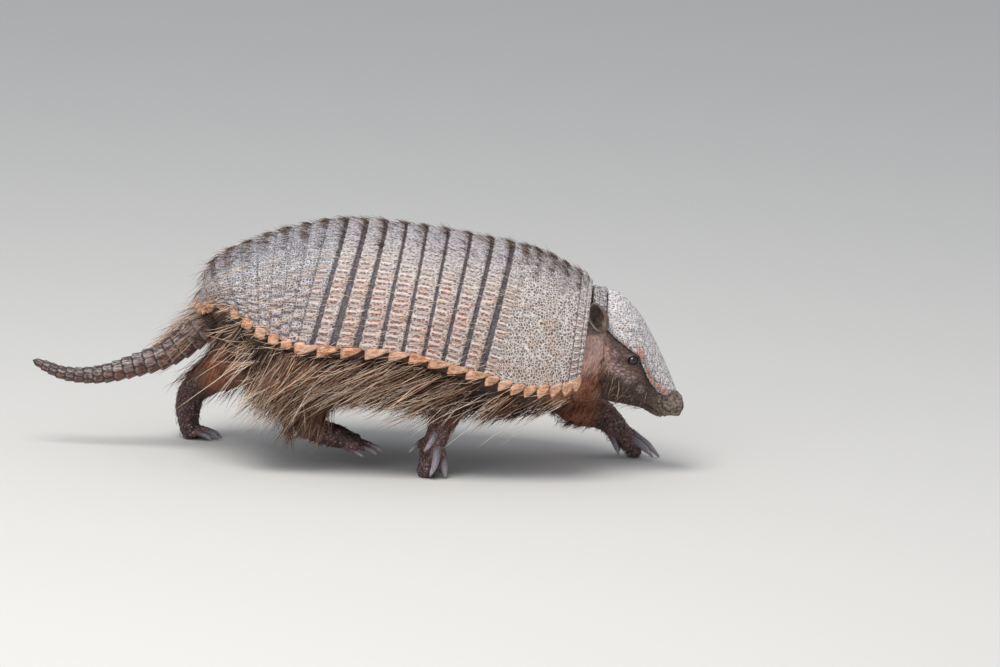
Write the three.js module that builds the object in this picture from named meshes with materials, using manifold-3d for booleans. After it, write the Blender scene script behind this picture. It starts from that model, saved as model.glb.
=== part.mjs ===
// A life-size model of a walking big hairy armadillo, in millimetres, with +Z up.
// +X points towards the head, +Y towards the animal's left side, and the soles stand on Z = 0.
import * as THREE from 'three';
import { mergeVertices } from 'three/addons/utils/BufferGeometryUtils.js';
import Module from 'manifold-3d';

const wasm = await Module();
wasm.setup();

// ---------------------------------------------------------------- driving sizes
const GAP = 0.35; // between touching pieces
const RIGHT = -1; // the sign of Y on the animal's right side
const LEFT = 1;

// The shell is a family of arches. Each station gives its row number, its point on the ridge of the back
// (x, z), the foot of its arch on the margin (x, z) and the half width there.
const SHELL_STATIONS = [
  { row: 0, ridge: [-142.8, 109.3], foot: [-126.5, 112.8], half: 50 },
  { row: 2, ridge: [-132.0, 134.6], foot: [-113.0, 107.5], half: 63 },
  { row: 4, ridge: [-107.5, 149.0], foot: [-99.0, 96.5], half: 72 },
  { row: 6, ridge: [-81.0, 159.1], foot: [-85.0, 89.6], half: 78 },
  { row: 9, ridge: [-40.9, 167.1], foot: [-62.0, 84.2], half: 83 },
  { row: 13, ridge: [15.4, 164.4], foot: [2.0, 82.6], half: 85 },
  { row: 17, ridge: [75.6, 155.9], foot: [55.6, 70.0], half: 81.5 },
  { row: 19.5, ridge: [101.0, 149.0], foot: [87.0, 60.8], half: 75 },
  { row: 22, ridge: [124.6, 137.2], foot: [117.6, 63.0], half: 65 },
  { row: 23, ridge: [133.0, 132.3], foot: [126.0, 67.5], half: 61 },
];
const PELVIC_ROWS = [0, 9];
const FIRST_BAND_ROW = 9;
const BANDS = 8;
const SCAPULAR_ROWS = [17, 22];
const COLLAR_ROWS = [22, 23];
const ROW_GAP = 0.0135; // half the gap between plates, in rows
const PLATE_T = 2.4; // thickness of a plate below its nominal surface
const BAND_CLEAR = 0.7; // between the bands' faceted insides and the torso
const PELVIC_CLEAR = 1.6; // the same under the pelvic shield, whose facets bend both ways
const ARCH_WIDTH_POWER = 0.88;
const ARCH_HEIGHT_POWER = 0.92;

// The underside: the lowest point of each torso ring (x, z), by row.
const BELLY_STATIONS = [
  { row: 0, low: [-113, 72] },
  { row: 4, low: [-92, 52] },
  { row: 9, low: [-54, 49] },
  { row: 13, low: [6, 50] },
  { row: 17, low: [60, 46] },
  { row: 22, low: [112, 48] },
  { row: 23, low: [120, 52] },
];

// The head's rings: top and bottom of each (x, z), and half width.
const HEAD_RINGS = [
  { top: [143.0, 129.0], low: [141.0, 50.0], half: 27 },
  { top: [151.0, 126.5], low: [149.0, 48.3], half: 28.5 },
  { top: [160.0, 119.3], low: [157.5, 47.0], half: 28 },
  { top: [168.0, 110.0], low: [164.5, 46.0], half: 26 },
  { top: [175.0, 98.8], low: [170.5, 44.6], half: 22.5 },
  { top: [181.0, 88.0], low: [175.5, 42.0], half: 18.5 },
  { top: [186.5, 77.2], low: [180.0, 39.6], half: 15 },
  { top: [191.0, 67.5], low: [185.0, 39.0], half: 12.5 },
  { top: [194.6, 60.0], low: [190.0, 40.0], half: 11 },
  { top: [196.8, 54.0], low: [194.5, 41.0], half: 9.5 },
];
const NOSE_TIP = [198.3, 47.0];

// ---------------------------------------------------------------- small helpers
const V = (x, y, z) => new THREE.Vector3(x, y, z);
const lerp = THREE.MathUtils.lerp;
const rad = THREE.MathUtils.degToRad;

function seededRandom(seed) {
  let state = seed;
  return () => {
    state = (state * 1664525 + 1013904223) % 4294967296;
    return state / 4294967296;
  };
}

// A smooth value through stations that are sorted by their key.
function smoothThrough(stations, key, read, at) {
  const last = stations.length - 1;
  let i = 0;
  while (i < last - 1 && stations[i + 1][key] <= at) i += 1;
  const a = stations[Math.max(i - 1, 0)];
  const b = stations[i];
  const c = stations[i + 1];
  const d = stations[Math.min(i + 2, last)];
  const span = c[key] - b[key];
  const t = (at - b[key]) / span;
  const slopeB = a === b ? (read(c) - read(b)) / span : (read(c) - read(a)) / (c[key] - a[key]);
  const slopeC = d === c ? (read(c) - read(b)) / span : (read(d) - read(b)) / (d[key] - b[key]);
  const t2 = t * t;
  const t3 = t2 * t;
  return (
    (2 * t3 - 3 * t2 + 1) * read(b) +
    (t3 - 2 * t2 + t) * span * slopeB +
    (-2 * t3 + 3 * t2) * read(c) +
    (t3 - t2) * span * slopeC
  );
}

const evenly = (from, to, count) => Array.from({ length: count + 1 }, (_, i) => lerp(from, to, i / count));
const signedPower = (value, power) => Math.sign(value) * Math.abs(value) ** power;

// ---------------------------------------------------------------- solids and meshes
class Shape {
  constructor() {
    this.points = [];
    this.faces = [];
  }

  add(point) {
    this.points.push(point);
    return this.points.length - 1;
  }

  tri(a, b, c) {
    this.faces.push(a, b, c);
  }

  quad(a, b, c, d) {
    this.tri(a, b, c);
    this.tri(a, c, d);
  }

  geometry() {
    const g = new THREE.BufferGeometry();
    g.setAttribute('position', new THREE.Float32BufferAttribute(this.points.flatMap((p) => p.toArray()), 3));
    g.setIndex(this.faces);
    return facingOut(g);
  }
}

function facingOut(geometry) {
  const p = geometry.attributes.position;
  const index = geometry.index.array;
  const [a, b, c] = [V(), V(), V()];
  let volume = 0;
  for (let i = 0; i < index.length; i += 3) {
    a.fromBufferAttribute(p, index[i]);
    b.fromBufferAttribute(p, index[i + 1]);
    c.fromBufferAttribute(p, index[i + 2]);
    volume += a.dot(b.cross(c));
  }
  if (volume < 0) {
    for (let i = 0; i < index.length; i += 3) {
      const keep = index[i + 1];
      index[i + 1] = index[i + 2];
      index[i + 2] = keep;
    }
  }
  return geometry;
}

function bare(geometry) {
  const g = geometry.clone();
  g.deleteAttribute('normal');
  g.deleteAttribute('uv');
  return mergeVertices(g, 1e-4);
}

function toSolid(geometry) {
  const g = bare(geometry);
  const mesh = new wasm.Mesh({
    numProp: 3,
    vertProperties: new Float32Array(g.attributes.position.array),
    triVerts: new Uint32Array(g.index.array),
  });
  return new wasm.Manifold(mesh);
}

// The largest closed surface of a solid, as a geometry.
function toGeometry(solid) {
  const biggest = solid.decompose().reduce((a, b) => (Math.abs(b.volume()) > Math.abs(a.volume()) ? b : a));
  const mesh = biggest.getMesh();
  const g = new THREE.BufferGeometry();
  g.setAttribute('position', new THREE.Float32BufferAttribute(mesh.vertProperties, 3));
  g.setIndex(Array.from(mesh.triVerts));
  return g;
}

// The same surface, moved out by a distance all over.
function grown(geometry, distance) {
  const g = bare(geometry);
  const p = g.attributes.position;
  const index = g.index.array;
  const sums = Array.from({ length: p.count }, () => V(0, 0, 0));
  const around = Array.from({ length: p.count }, () => []);
  for (let i = 0; i < index.length; i += 3) {
    const [a, b, c] = [0, 1, 2].map((k) => V().fromBufferAttribute(p, index[i + k]));
    const normal = b.clone().sub(a).cross(c.clone().sub(a));
    const area = normal.length();
    if (area < 1e-9) continue;
    for (let k = 0; k < 3; k += 1) {
      sums[index[i + k]].add(normal);
      around[index[i + k]].push(normal.clone().divideScalar(area));
    }
  }
  sums.forEach((sum, i) => {
    const n = sum.normalize();
    const least = Math.max(0.45, Math.min(...around[i].map((face) => face.dot(n)), 1));
    p.setXYZ(
      i,
      p.getX(i) + (n.x * distance) / least,
      p.getY(i) + (n.y * distance) / least,
      p.getZ(i) + (n.z * distance) / least,
    );
  });
  return g;
}

// A closed skin over rings of equal count, with a point or a flat cap at each end.
function loft(rings, startPole = null, endPole = null) {
  const shape = new Shape();
  const ids = rings.map((ring) => ring.map((p) => shape.add(p)));
  const count = rings[0].length;
  for (let i = 0; i + 1 < rings.length; i += 1) {
    for (let j = 0; j < count; j += 1) {
      const k = (j + 1) % count;
      shape.quad(ids[i][j], ids[i][k], ids[i + 1][k], ids[i + 1][j]);
    }
  }
  const close = (ring, pole, flip) => {
    const middle = pole ?? ring.reduce((sum, i) => sum.add(shape.points[i]), V(0, 0, 0)).divideScalar(count);
    const tip = shape.add(middle);
    for (let j = 0; j < count; j += 1) {
      const k = (j + 1) % count;
      if (flip) shape.tri(tip, ring[k], ring[j]);
      else shape.tri(tip, ring[j], ring[k]);
    }
  };
  close(ids[0], startPole, true);
  close(ids[ids.length - 1], endPole, false);
  return shape.geometry();
}

// A round-sided limb along stations of { at, wide, deep }: half sizes across Y and in the XZ plane.
function limb(stations, { sides = 8, steps = 2, flatStart = false, flatEnd = false } = {}) {
  const path = new THREE.CatmullRomCurve3(stations.map((s) => V(...s.at)), false, 'centripetal');
  const count = (stations.length - 1) * steps;
  const rings = [];
  for (let i = 0; i <= count; i += 1) {
    const t = i / count;
    const place = path.getPoint(t);
    const along = path.getTangent(t);
    const across = V(0, 1, 0).addScaledVector(along, -along.y).normalize();
    const over = along.clone().cross(across);
    const s = Math.min(Math.floor(i / steps), stations.length - 2);
    const f = i / steps - s;
    const wide = lerp(stations[s].wide, stations[s + 1].wide, f);
    const deep = lerp(stations[s].deep, stations[s + 1].deep, f);
    const ring = [];
    for (let j = 0; j < sides; j += 1) {
      const a = ((j + 0.5) / sides) * 2 * Math.PI;
      ring.push(
        place.clone().addScaledVector(across, wide * Math.cos(a)).addScaledVector(over, deep * Math.sin(a)),
      );
    }
    rings.push(ring);
  }
  const first = stations[0];
  const final = stations[stations.length - 1];
  const start = path.getPoint(0).addScaledVector(path.getTangent(0), -0.5 * first.deep);
  const end = path.getPoint(1).addScaledVector(path.getTangent(1), 0.5 * final.deep);
  return loft(rings, flatStart ? null : start, flatEnd ? null : end);
}

function joined(...geometries) {
  return geometries.map(toSolid).reduce((all, one) => all.add(one));
}

// What is left of a solid when its neighbours and the gap round them are cut away.
function clearOf(solid, ...neighbours) {
  return neighbours.reduce((left, one) => left.subtract(toSolid(grown(one, GAP))), solid);
}

// ---------------------------------------------------------------- the model
const group = new THREE.Group();
const made = {};

function node(name, geometry, color, roughness = 0.8) {
  const mesh = new THREE.Mesh(geometry, new THREE.MeshStandardMaterial({ color, roughness, metalness: 0 }));
  mesh.name = name;
  made[name] = geometry;
  group.add(mesh);
}

const SHELL_COLOR = 0x9a908a;
const BAND_COLOR = 0x94725f;
const SKIN_COLOR = 0x4a302a;
const CHEEK_COLOR = 0x5a4038;
const CLAW_COLOR = 0x807882;
const HAIR_COLOR = 0xa89070;
const TAIL_COLOR = 0x5a4a42;
const EYE_COLOR = 0x120c0a;

// ---------------------------------------------------------------- shell surface
function shellRow(row) {
  const read = (pick) => smoothThrough(SHELL_STATIONS, 'row', pick, row);
  return {
    ridge: V(read((s) => s.ridge[0]), 0, read((s) => s.ridge[1])),
    foot: V(read((s) => s.foot[0]), 0, read((s) => s.foot[1])),
    half: read((s) => s.half),
  };
}

// across runs from -1 at the right margin, over 0 at the ridge, to 1 at the left margin.
function shellBare(row, across) {
  const { ridge, foot, half } = shellRow(row);
  const a = (across * Math.PI) / 2;
  const up = signedPower(Math.cos(a), ARCH_HEIGHT_POWER);
  const out = signedPower(Math.sin(a), ARCH_WIDTH_POWER);
  return foot.clone().lerp(ridge, up).setY(half * out);
}

function shellNormal(row, across) {
  const d = 0.02;
  const v = THREE.MathUtils.clamp(across, -1 + d, 1 - d);
  const r = THREE.MathUtils.clamp(row, d, 23 - d);
  const alongRow = shellBare(r, v + d).sub(shellBare(r, v - d));
  const alongBody = shellBare(r + d, v).sub(shellBare(r - d, v));
  return alongBody.cross(alongRow).normalize();
}

function shellPoint(row, across, lift = 0) {
  return shellBare(row, across).addScaledVector(shellNormal(row, across), lift);
}

// ---------------------------------------------------------------- shell plates
const SCUTE_INSET = 0.16; // of a scute's length and width, the slope beside each groove
const MARGIN_REACH = 0.965; // how far across the shell a plate goes before its marginal scutes
const MARGIN_FLARE = 0.9; // how far the marginal scutes stand out sideways
const MARGIN_DROP = [2.4, 6.2]; // their shoulders and tips below the plate's edge
const MARGIN_SWEEP = 5.2; // how far their tips point back

// A pointed scute on the edge of a plate, from a closed loop of the plate's edge.
function marginScute(shape, loop, down, side) {
  const middle = loop.reduce((sum, i) => sum.add(shape.points[i]), V(0, 0, 0)).divideScalar(loop.length);
  const flare = V(0, side * MARGIN_FLARE, 0);
  const shoulder = loop.map((i) => {
    const p = shape.points[i].clone().lerp(middle, 0.14);
    return shape.add(p.addScaledVector(down, MARGIN_DROP[0]).add(flare));
  });
  const sweep = V(-MARGIN_SWEEP, 0, 0);
  const tip = shape.add(middle.clone().addScaledVector(down, MARGIN_DROP[1]).add(flare).add(sweep));
  loop.forEach((_, j) => {
    const k = (j + 1) % loop.length;
    shape.quad(loop[j], loop[k], shoulder[k], shoulder[j]);
    shape.tri(shoulder[j], shoulder[k], tip);
  });
}

function marginDown(row) {
  const { ridge, foot } = shellRow(row);
  return foot.clone().sub(ridge).normalize();
}

// One raised scute over four groove corners, given by a point function of its two fractions.
function quilt(shape, corners, pointAt) {
  const f = SCUTE_INSET;
  const top = [[f, f], [f, 1 - f], [1 - f, 1 - f], [1 - f, f]].map(([i, j]) => shape.add(pointAt(i, j)));
  for (let k = 0; k < 4; k += 1) {
    const next = (k + 1) % 4;
    shape.quad(corners[k], corners[next], top[next], top[k]);
  }
  shape.quad(...top);
}

// A curved plate of raised scutes. place(i, j, lift) gives a point at row i and column j, which may lie
// between whole numbers. Its four edges are closed by walls, or by the function of that edge.
function scutePlate(rows, columns, place, levels, edges = {}) {
  const shape = new Shape();
  const grid = (lift) =>
    evenly(0, rows, rows).map((i) => evenly(0, columns, columns).map((j) => shape.add(place(i, j, lift))));
  const over = grid(levels.groove);
  const under = grid(levels.inside);
  const wall = (loop) => shape.quad(...loop);
  const close = (edge, loop, index) => (edges[edge] ? edges[edge](shape, loop, index) : wall(loop));
  for (let i = 0; i < rows; i += 1) {
    for (let j = 0; j < columns; j += 1) {
      const corners = [over[i][j], over[i][j + 1], over[i + 1][j + 1], over[i + 1][j]];
      quilt(shape, corners, (fi, fj) => place(i + fi, j + fj, levels.top + levels.tilt * (0.5 - fi)));
      shape.quad(under[i][j + 1], under[i][j], under[i + 1][j], under[i + 1][j + 1]);
    }
    close('right', [over[i][0], over[i + 1][0], under[i + 1][0], under[i][0]], i);
    close('left', [over[i + 1][columns], over[i][columns], under[i][columns], under[i + 1][columns]], i);
  }
  for (let j = 0; j < columns; j += 1) {
    close('rear', [over[0][j + 1], over[0][j], under[0][j], under[0][j + 1]], j);
    close('front', [over[rows][j], over[rows][j + 1], under[rows][j + 1], under[rows][j]], j);
  }
  return shape.geometry();
}

const SCUTE_LEVELS = { groove: -0.5, top: 0.5, tilt: 0.3, inside: -PLATE_T };

function shieldPlate([rear, front], rows, columns, rearScutes = false) {
  const rowAt = (i) => lerp(rear, front, i / rows);
  const place = (i, j, lift) => shellPoint(rowAt(i), MARGIN_REACH * ((2 * j) / columns - 1), lift);
  const scuteAt = (side) => (shape, loop, i) => marginScute(shape, loop, marginDown(rowAt(i + 0.5)), side);
  const edges = { right: scuteAt(RIGHT), left: scuteAt(LEFT) };
  if (rearScutes) edges.rear = (shape, loop) => marginScute(shape, loop, REAR_DOWN, 0);
  return scutePlate(rows, columns, place, SCUTE_LEVELS, edges);
}

// ---------------------------------------------------------------- movable bands
const BAND_SCUTES = 18;
const HINGE_ROWS = 0.2; // the dark strip along each band's front edge, in rows
const HINGE_SINK = -1.1;
const BAND_FRONT_LIFT = 0.1;
const BAND_REAR_LIFT = 0.8; // the free rear edge stands over the next band
const BAND_GROOVE = 0.75;

// Joins two rows of points, each either plain (one point to a groove) or full (with a scute's two
// raised points between each pair of grooves).
function bandStrip(shape, x, y) {
  for (let j = 0; j < BAND_SCUTES; j += 1) {
    const [a, b] = [x.groove[j], x.groove[j + 1]];
    const [c, d] = [y.groove[j], y.groove[j + 1]];
    if (x.raised && y.raised) {
      const [[p, q], [r, t]] = [x.raised[j], y.raised[j]];
      shape.quad(a, p, r, c);
      shape.quad(p, q, t, r);
      shape.quad(q, b, d, t);
    } else if (y.raised) {
      const [r, t] = y.raised[j];
      shape.tri(a, r, c);
      shape.quad(a, b, t, r);
      shape.tri(b, d, t);
    } else if (x.raised) {
      const [p, q] = x.raised[j];
      shape.tri(a, p, c);
      shape.quad(p, q, d, c);
      shape.tri(q, b, d);
    } else {
      shape.quad(a, b, d, c);
    }
  }
}

function band(rearRow, frontRow) {
  const shape = new Shape();
  const acrossAt = (j) => MARGIN_REACH * ((2 * j) / BAND_SCUTES - 1);
  const grooveRow = (row, lift) =>
    evenly(0, BAND_SCUTES, BAND_SCUTES).map((j) => shape.add(shellPoint(row, acrossAt(j), lift)));
  const plain = (row, lift) => ({ groove: grooveRow(row, lift) });
  const full = (row, lift) => ({
    groove: grooveRow(row, lift - BAND_GROOVE),
    raised: Array.from({ length: BAND_SCUTES }, (_, j) =>
      [SCUTE_INSET, 1 - SCUTE_INSET].map((f) => shape.add(shellPoint(row, acrossAt(j + f), lift))),
    ),
  });
  const hingeRow = frontRow - HINGE_ROWS;
  const loops = [
    full(rearRow, BAND_REAR_LIFT),
    full(hingeRow, BAND_FRONT_LIFT),
    plain(hingeRow + 0.02, HINGE_SINK),
    plain(frontRow, HINGE_SINK),
    plain(frontRow, -PLATE_T),
    plain(rearRow, -PLATE_T),
  ];
  loops.forEach((loop, i) => bandStrip(shape, loop, loops[(i + 1) % loops.length]));
  const down = marginDown((rearRow + frontRow) / 2);
  marginScute(shape, loops.map((loop) => loop.groove[0]), down, RIGHT);
  marginScute(shape, loops.map((loop) => loop.groove[BAND_SCUTES]).reverse(), down, LEFT);
  return shape.geometry();
}

const REAR_DOWN = V(-0.45, 0, -0.9).normalize();
const PELVIC_SCUTES = [9, 14];
const SCAPULAR_SCUTES = [5, 14];
const COLLAR_SCUTES = 14;

const insideGaps = ([rear, front]) => [rear + ROW_GAP, front - ROW_GAP];

const pelvicPlate = shieldPlate([PELVIC_ROWS[0], PELVIC_ROWS[1] - ROW_GAP], ...PELVIC_SCUTES, true);
node('pelvic_shield', pelvicPlate, SHELL_COLOR);
for (let i = 0; i < BANDS; i += 1) {
  const [rear, front] = insideGaps([FIRST_BAND_ROW + i, FIRST_BAND_ROW + i + 1]);
  node(`band_${i + 1}`, band(rear, front), BAND_COLOR);
}
node('scapular_shield', shieldPlate(insideGaps(SCAPULAR_ROWS), ...SCAPULAR_SCUTES), SHELL_COLOR);
node('collar_band', shieldPlate([COLLAR_ROWS[0] + ROW_GAP, COLLAR_ROWS[1]], 1, COLLAR_SCUTES), SHELL_COLOR);

// ---------------------------------------------------------------- torso
const TORSO_ROWS = [0.5, 1.4, 3, 5, 7.5, 10, 13, 16, 18.5, 20.5, 22.2, 22.9];
const UPPER_SIDES = 12;
const LOWER_SIDES = 8;
const LEDGE = 9; // how far the flanks stand inside the margin
const LEDGE_DROP = 3;
const FLANK_POWER = 0.8;

// A point on the flank or belly, at an angle down from the flank's top edge to the lowest line at 90.
function flankPoint(row, angle, side) {
  const { foot, half } = shellRow(row);
  const low = V(
    smoothThrough(BELLY_STATIONS, 'row', (s) => s.low[0], row),
    0,
    smoothThrough(BELLY_STATIONS, 'row', (s) => s.low[1], row),
  );
  const top = foot.clone().setZ(foot.z - LEDGE_DROP);
  const out = signedPower(Math.cos(angle), FLANK_POWER);
  return top.lerp(low, Math.sin(angle) ** FLANK_POWER).setY(side * (half - PLATE_T - LEDGE) * out);
}

function flankNormal(row, angle, side) {
  const d = 0.05;
  const down = flankPoint(row, angle + d, side).sub(flankPoint(row, angle - d, side));
  const along = flankPoint(row + d, angle, side).sub(flankPoint(row - d, angle, side));
  return along.cross(down).multiplyScalar(side).normalize();
}

function torsoRing(row) {
  const clear = lerp(PELVIC_CLEAR, BAND_CLEAR, THREE.MathUtils.smoothstep(row, 5, 9));
  const ring = evenly(-1, 1, UPPER_SIDES).map((v) => shellPoint(row, v, -(PLATE_T + clear)));
  for (let j = 0; j <= LOWER_SIDES; j += 1) {
    ring.push(flankPoint(row, (j / LOWER_SIDES) * Math.PI, LEFT));
  }
  return ring;
}

const RUMP_POLE = V(-132, 0, 92);
const CHEST_POLE = V(128, 0, 92);
const torso = loft(TORSO_ROWS.map((r) => torsoRing(r)), RUMP_POLE, CHEST_POLE);

// ---------------------------------------------------------------- locks of the coat
const LOCK_T = 1.7; // a lock's thickness at its middle
const LOCK_SUNK = 3; // how deep its root goes
const LOCK_STAND = 2.6; // how far it stands off the skin
const LOCK_RINGS = [
  { along: 0, wide: 0.7, thick: 1 },
  { along: 0.5, wide: 1, thick: 1 },
];

// A flat, tapered, bent lock from a root on the skin, along its lie and falling at its tip.
function lock(root, normal, lie, { length, width }) {
  const away = root.clone().addScaledVector(normal, LOCK_STAND).addScaledVector(lie, 0.4 * length);
  const tip = root.clone().addScaledVector(normal, LOCK_STAND).addScaledVector(lie, length);
  tip.z -= 0.12 * length;
  const start = root.clone().addScaledVector(normal, -LOCK_SUNK).addScaledVector(lie, 0.04 * length);
  const path = new THREE.QuadraticBezierCurve3(start, away, tip);
  const rings = LOCK_RINGS.map(({ along, wide, thick }) => {
    const place = path.getPoint(along);
    const across = path.getTangent(along).cross(normal).normalize();
    const over = across.clone().cross(path.getTangent(along)).normalize();
    const half = (wide * width) / 2;
    const deep = (thick * LOCK_T) / 2;
    return [[half, 0], [0, deep], [-half, 0], [0, -deep]].map(([w, t]) =>
      place.clone().addScaledVector(across, w).addScaledVector(over, t),
    );
  });
  return loft(rings, null, path.getPoint(1));
}

// Tiers of locks down each flank. fall is how steeply they lie, in degrees below level, and spread how
// far they turn out from the body.
const COAT_TIERS = [
  { angle: 12, rows: [2.2, 21], count: 12, length: 37, fall: 46, width: 12, spread: 0.3 },
  { angle: 40, rows: [3.4, 20.4], count: 9, length: 31, fall: 32, width: 12.5, spread: -0.1 },
  { angle: 70, rows: [5, 20], count: 5, length: 26, fall: 14, width: 13, spread: -0.1 },
];
const RUMP_FALL = 22; // added to the fall over the rump

function lieOf(fallDegrees, side, spread) {
  const fall = rad(fallDegrees);
  return V(-Math.cos(fall), side * spread, -Math.sin(fall)).normalize();
}

function flankLocks(side, random) {
  return COAT_TIERS.flatMap((tier, k) =>
    evenly(0, tier.count - 1, tier.count - 1).map((i) => {
      const shift = (i + 0.5 * (k % 2) + 0.3 * (random() - 0.5)) / tier.count;
      const row = lerp(tier.rows[0], tier.rows[1], shift);
      const angle = rad(tier.angle + 9 * (random() - 0.5));
      const rump = 1 - THREE.MathUtils.smoothstep(row, 2, 6);
      const fall = tier.fall + RUMP_FALL * rump + 14 * (random() - 0.5);
      const size = { length: tier.length * (0.88 + 0.24 * random()), width: tier.width };
      const root = flankPoint(row, angle, side);
      return lock(root, flankNormal(row, angle, side), lieOf(fall, side, tier.spread), size);
    }),
  );
}

// ---------------------------------------------------------------- head
const HEAD_PLATE_T = 2;
const HEAD_PLATE_CLEAR = 0.9;
const HEAD_SHIELD_SPAN = [0.12, 8.0];
// Half the angle that the head shield covers, in degrees from the top, by ring.
const HEAD_SHIELD_EDGE = [
  { ring: 0, angle: 62 },
  { ring: 2, angle: 67 },
  { ring: 3, angle: 76 },
  { ring: 4.5, angle: 93 },
  { ring: 6, angle: 91 },
  { ring: 7, angle: 74 },
  { ring: 8, angle: 30 },
  { ring: 9, angle: 25 },
];
const UNDER_SHIELD_SIDES = 8;
const OPEN_SIDES = 13;
const SHIELD_LIP = rad(2);

const shieldEdge = (t) => rad(smoothThrough(HEAD_SHIELD_EDGE, 'ring', (s) => s.angle, t));

function headSection(t) {
  const keyed = HEAD_RINGS.map((r, i) => ({ ...r, i }));
  const read = (pick) => smoothThrough(keyed, 'i', pick, t);
  const top = V(read((s) => s.top[0]), 0, read((s) => s.top[1]));
  const low = V(read((s) => s.low[0]), 0, read((s) => s.low[1]));
  return { top, low, half: read((s) => s.half) };
}

// A point on the head at an angle from the top, moved out by a lift.
function headPoint(t, angle, lift = 0) {
  const { top, low, half } = headSection(t);
  const up = top.clone().sub(low).multiplyScalar(0.5);
  const size = up.length();
  return top
    .clone()
    .lerp(low, 0.5)
    .addScaledVector(up, (Math.cos(angle) * (size + lift)) / size)
    .add(V(0, Math.sin(angle) * (half + lift), 0));
}

function headRing(t) {
  const edge = shieldEdge(t) + SHIELD_LIP;
  const covered = t < HEAD_SHIELD_SPAN[1] + 0.2;
  const sunk = covered ? -(HEAD_PLATE_T + HEAD_PLATE_CLEAR) : 0;
  const under = evenly(-edge, edge, UNDER_SHIELD_SIDES).map((a) => headPoint(t, a, sunk));
  const lip = edge + SHIELD_LIP;
  const open = evenly(lip, 2 * Math.PI - lip, OPEN_SIDES).map((a) => headPoint(t, a));
  return [...under, ...open];
}

const HEAD_STEPS = [0, 1, 2, 2.7, 3.4, 4.2, 5, 6, 7, 8.1, 8.4, 9];
const HEAD_BACK = V(139, 0, 90);
const headCore = loft(HEAD_STEPS.map(headRing), HEAD_BACK, V(NOSE_TIP[0], 0, NOSE_TIP[1]));
const EYE = V(162.4, 25.2, 82.8);
const EYE_R = 4.0;

function eyeBall(side, radius) {
  const g = new THREE.SphereGeometry(radius, 8, 6);
  g.translate(EYE.x, side * EYE.y, EYE.z);
  return g;
}

// A ring of skin round the eye, a little longer than tall.
const LID = { ring: 4.6, tube: 1.3, stretch: 1.25, y: 27.2 };

function lids(side) {
  const g = new THREE.TorusGeometry(LID.ring, LID.tube, 4, 8);
  return g.scale(LID.stretch, 1, 1).rotateX(Math.PI / 2).translate(EYE.x, side * LID.y, EYE.z);
}

// Half the head's width at a place (x, z) in its side view.
function headHalfAt(x, z) {
  const place = V(x, 0, z);
  const off = (t) => {
    const { top, low } = headSection(t);
    const line = new THREE.Line3(top, low);
    return line.closestPointToPoint(place, true, V()).distanceTo(place);
  };
  const t = evenly(0, HEAD_RINGS.length - 1, 180).reduce((a, b) => (off(b) < off(a) ? b : a));
  const { top, low, half } = headSection(t);
  const height = new THREE.Line3(top, low).closestPointToPointParameter(place, true);
  return half * Math.sqrt(1 - (2 * height - 1) ** 2);
}

// The mouth line in side view (x, z), from the front of the lips back to their corner.
const MOUTH = [[188.2, 33.5], [184.8, 42.2], [178, 47.4], [170, 51.4], [163, 54.4]];
const MOUTH_SLIT = 0.9;
const MOUTH_DEPTH = 5; // how far in the slit goes
const LIP_R = 2.1;
const LIP_FROM = 1; // the first point of the mouth line with lips beside it

function mouthSlit(side) {
  const rings = MOUTH.map(([x, z], i) => {
    const [before, after] = [MOUTH[Math.max(i - 1, 0)], MOUTH[Math.min(i + 1, MOUTH.length - 1)]];
    const across = V(before[1] - after[1], 0, after[0] - before[0]).setLength(MOUTH_SLIT / 2);
    const inner = Math.max(headHalfAt(x, z) - MOUTH_DEPTH, 1);
    const outer = HEAD_RINGS[1].half + 9;
    return [[1, inner], [1, outer], [-1, outer], [-1, inner]].map(([way, y]) =>
      V(x, side * y, z).addScaledVector(across, way),
    );
  });
  return loft(rings);
}

function lips(side) {
  const stations = MOUTH.slice(LIP_FROM).map(([x, z], i, all) => {
    const r = LIP_R * (i === all.length - 1 ? 0.5 : 1);
    return { at: [x, side * (headHalfAt(x, z) - 0.4 * LIP_R), z], wide: r, deep: r };
  });
  return limb(stations, { sides: 5, steps: 1 });
}

const NOSTRIL = { r: 1.3, depth: 6, at: [197.4, 3.7, 47.6], splay: rad(24) };

function nostril(side) {
  const g = new THREE.CylinderGeometry(NOSTRIL.r, NOSTRIL.r, NOSTRIL.depth, 7).rotateZ(Math.PI / 2);
  const [x, y, z] = NOSTRIL.at;
  return g.rotateZ(side * NOSTRIL.splay).translate(x, side * y, z);
}

const bothSides = (piece) => [piece(LEFT), piece(RIGHT)];
const openings = [
  ...bothSides(mouthSlit),
  ...bothSides(nostril),
  ...bothSides((side) => eyeBall(side, EYE_R + GAP)),
];
const head = openings.reduce(
  (solid, opening) => solid.subtract(toSolid(opening)),
  joined(headCore, ...bothSides(lids), ...bothSides(lips)),
);
node('head', toGeometry(head), CHEEK_COLOR);
node('eye_left', eyeBall(LEFT, EYE_R), EYE_COLOR, 0.1);
node('eye_right', eyeBall(RIGHT, EYE_R), EYE_COLOR, 0.1);

const HEAD_SCUTES = [9, 7];
const HEAD_SCUTE_LEVELS = { groove: -0.7, top: 0, tilt: 0.2, inside: -HEAD_PLATE_T };

function headShield([rows, columns]) {
  const place = (i, j, lift) => {
    const t = lerp(...HEAD_SHIELD_SPAN, i / rows);
    return headPoint(t, shieldEdge(t) * (-1 + (2 * j) / columns), lift);
  };
  return scutePlate(rows, columns, place, HEAD_SCUTE_LEVELS);
}

node('head_shield', headShield(HEAD_SCUTES), SHELL_COLOR);

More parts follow.
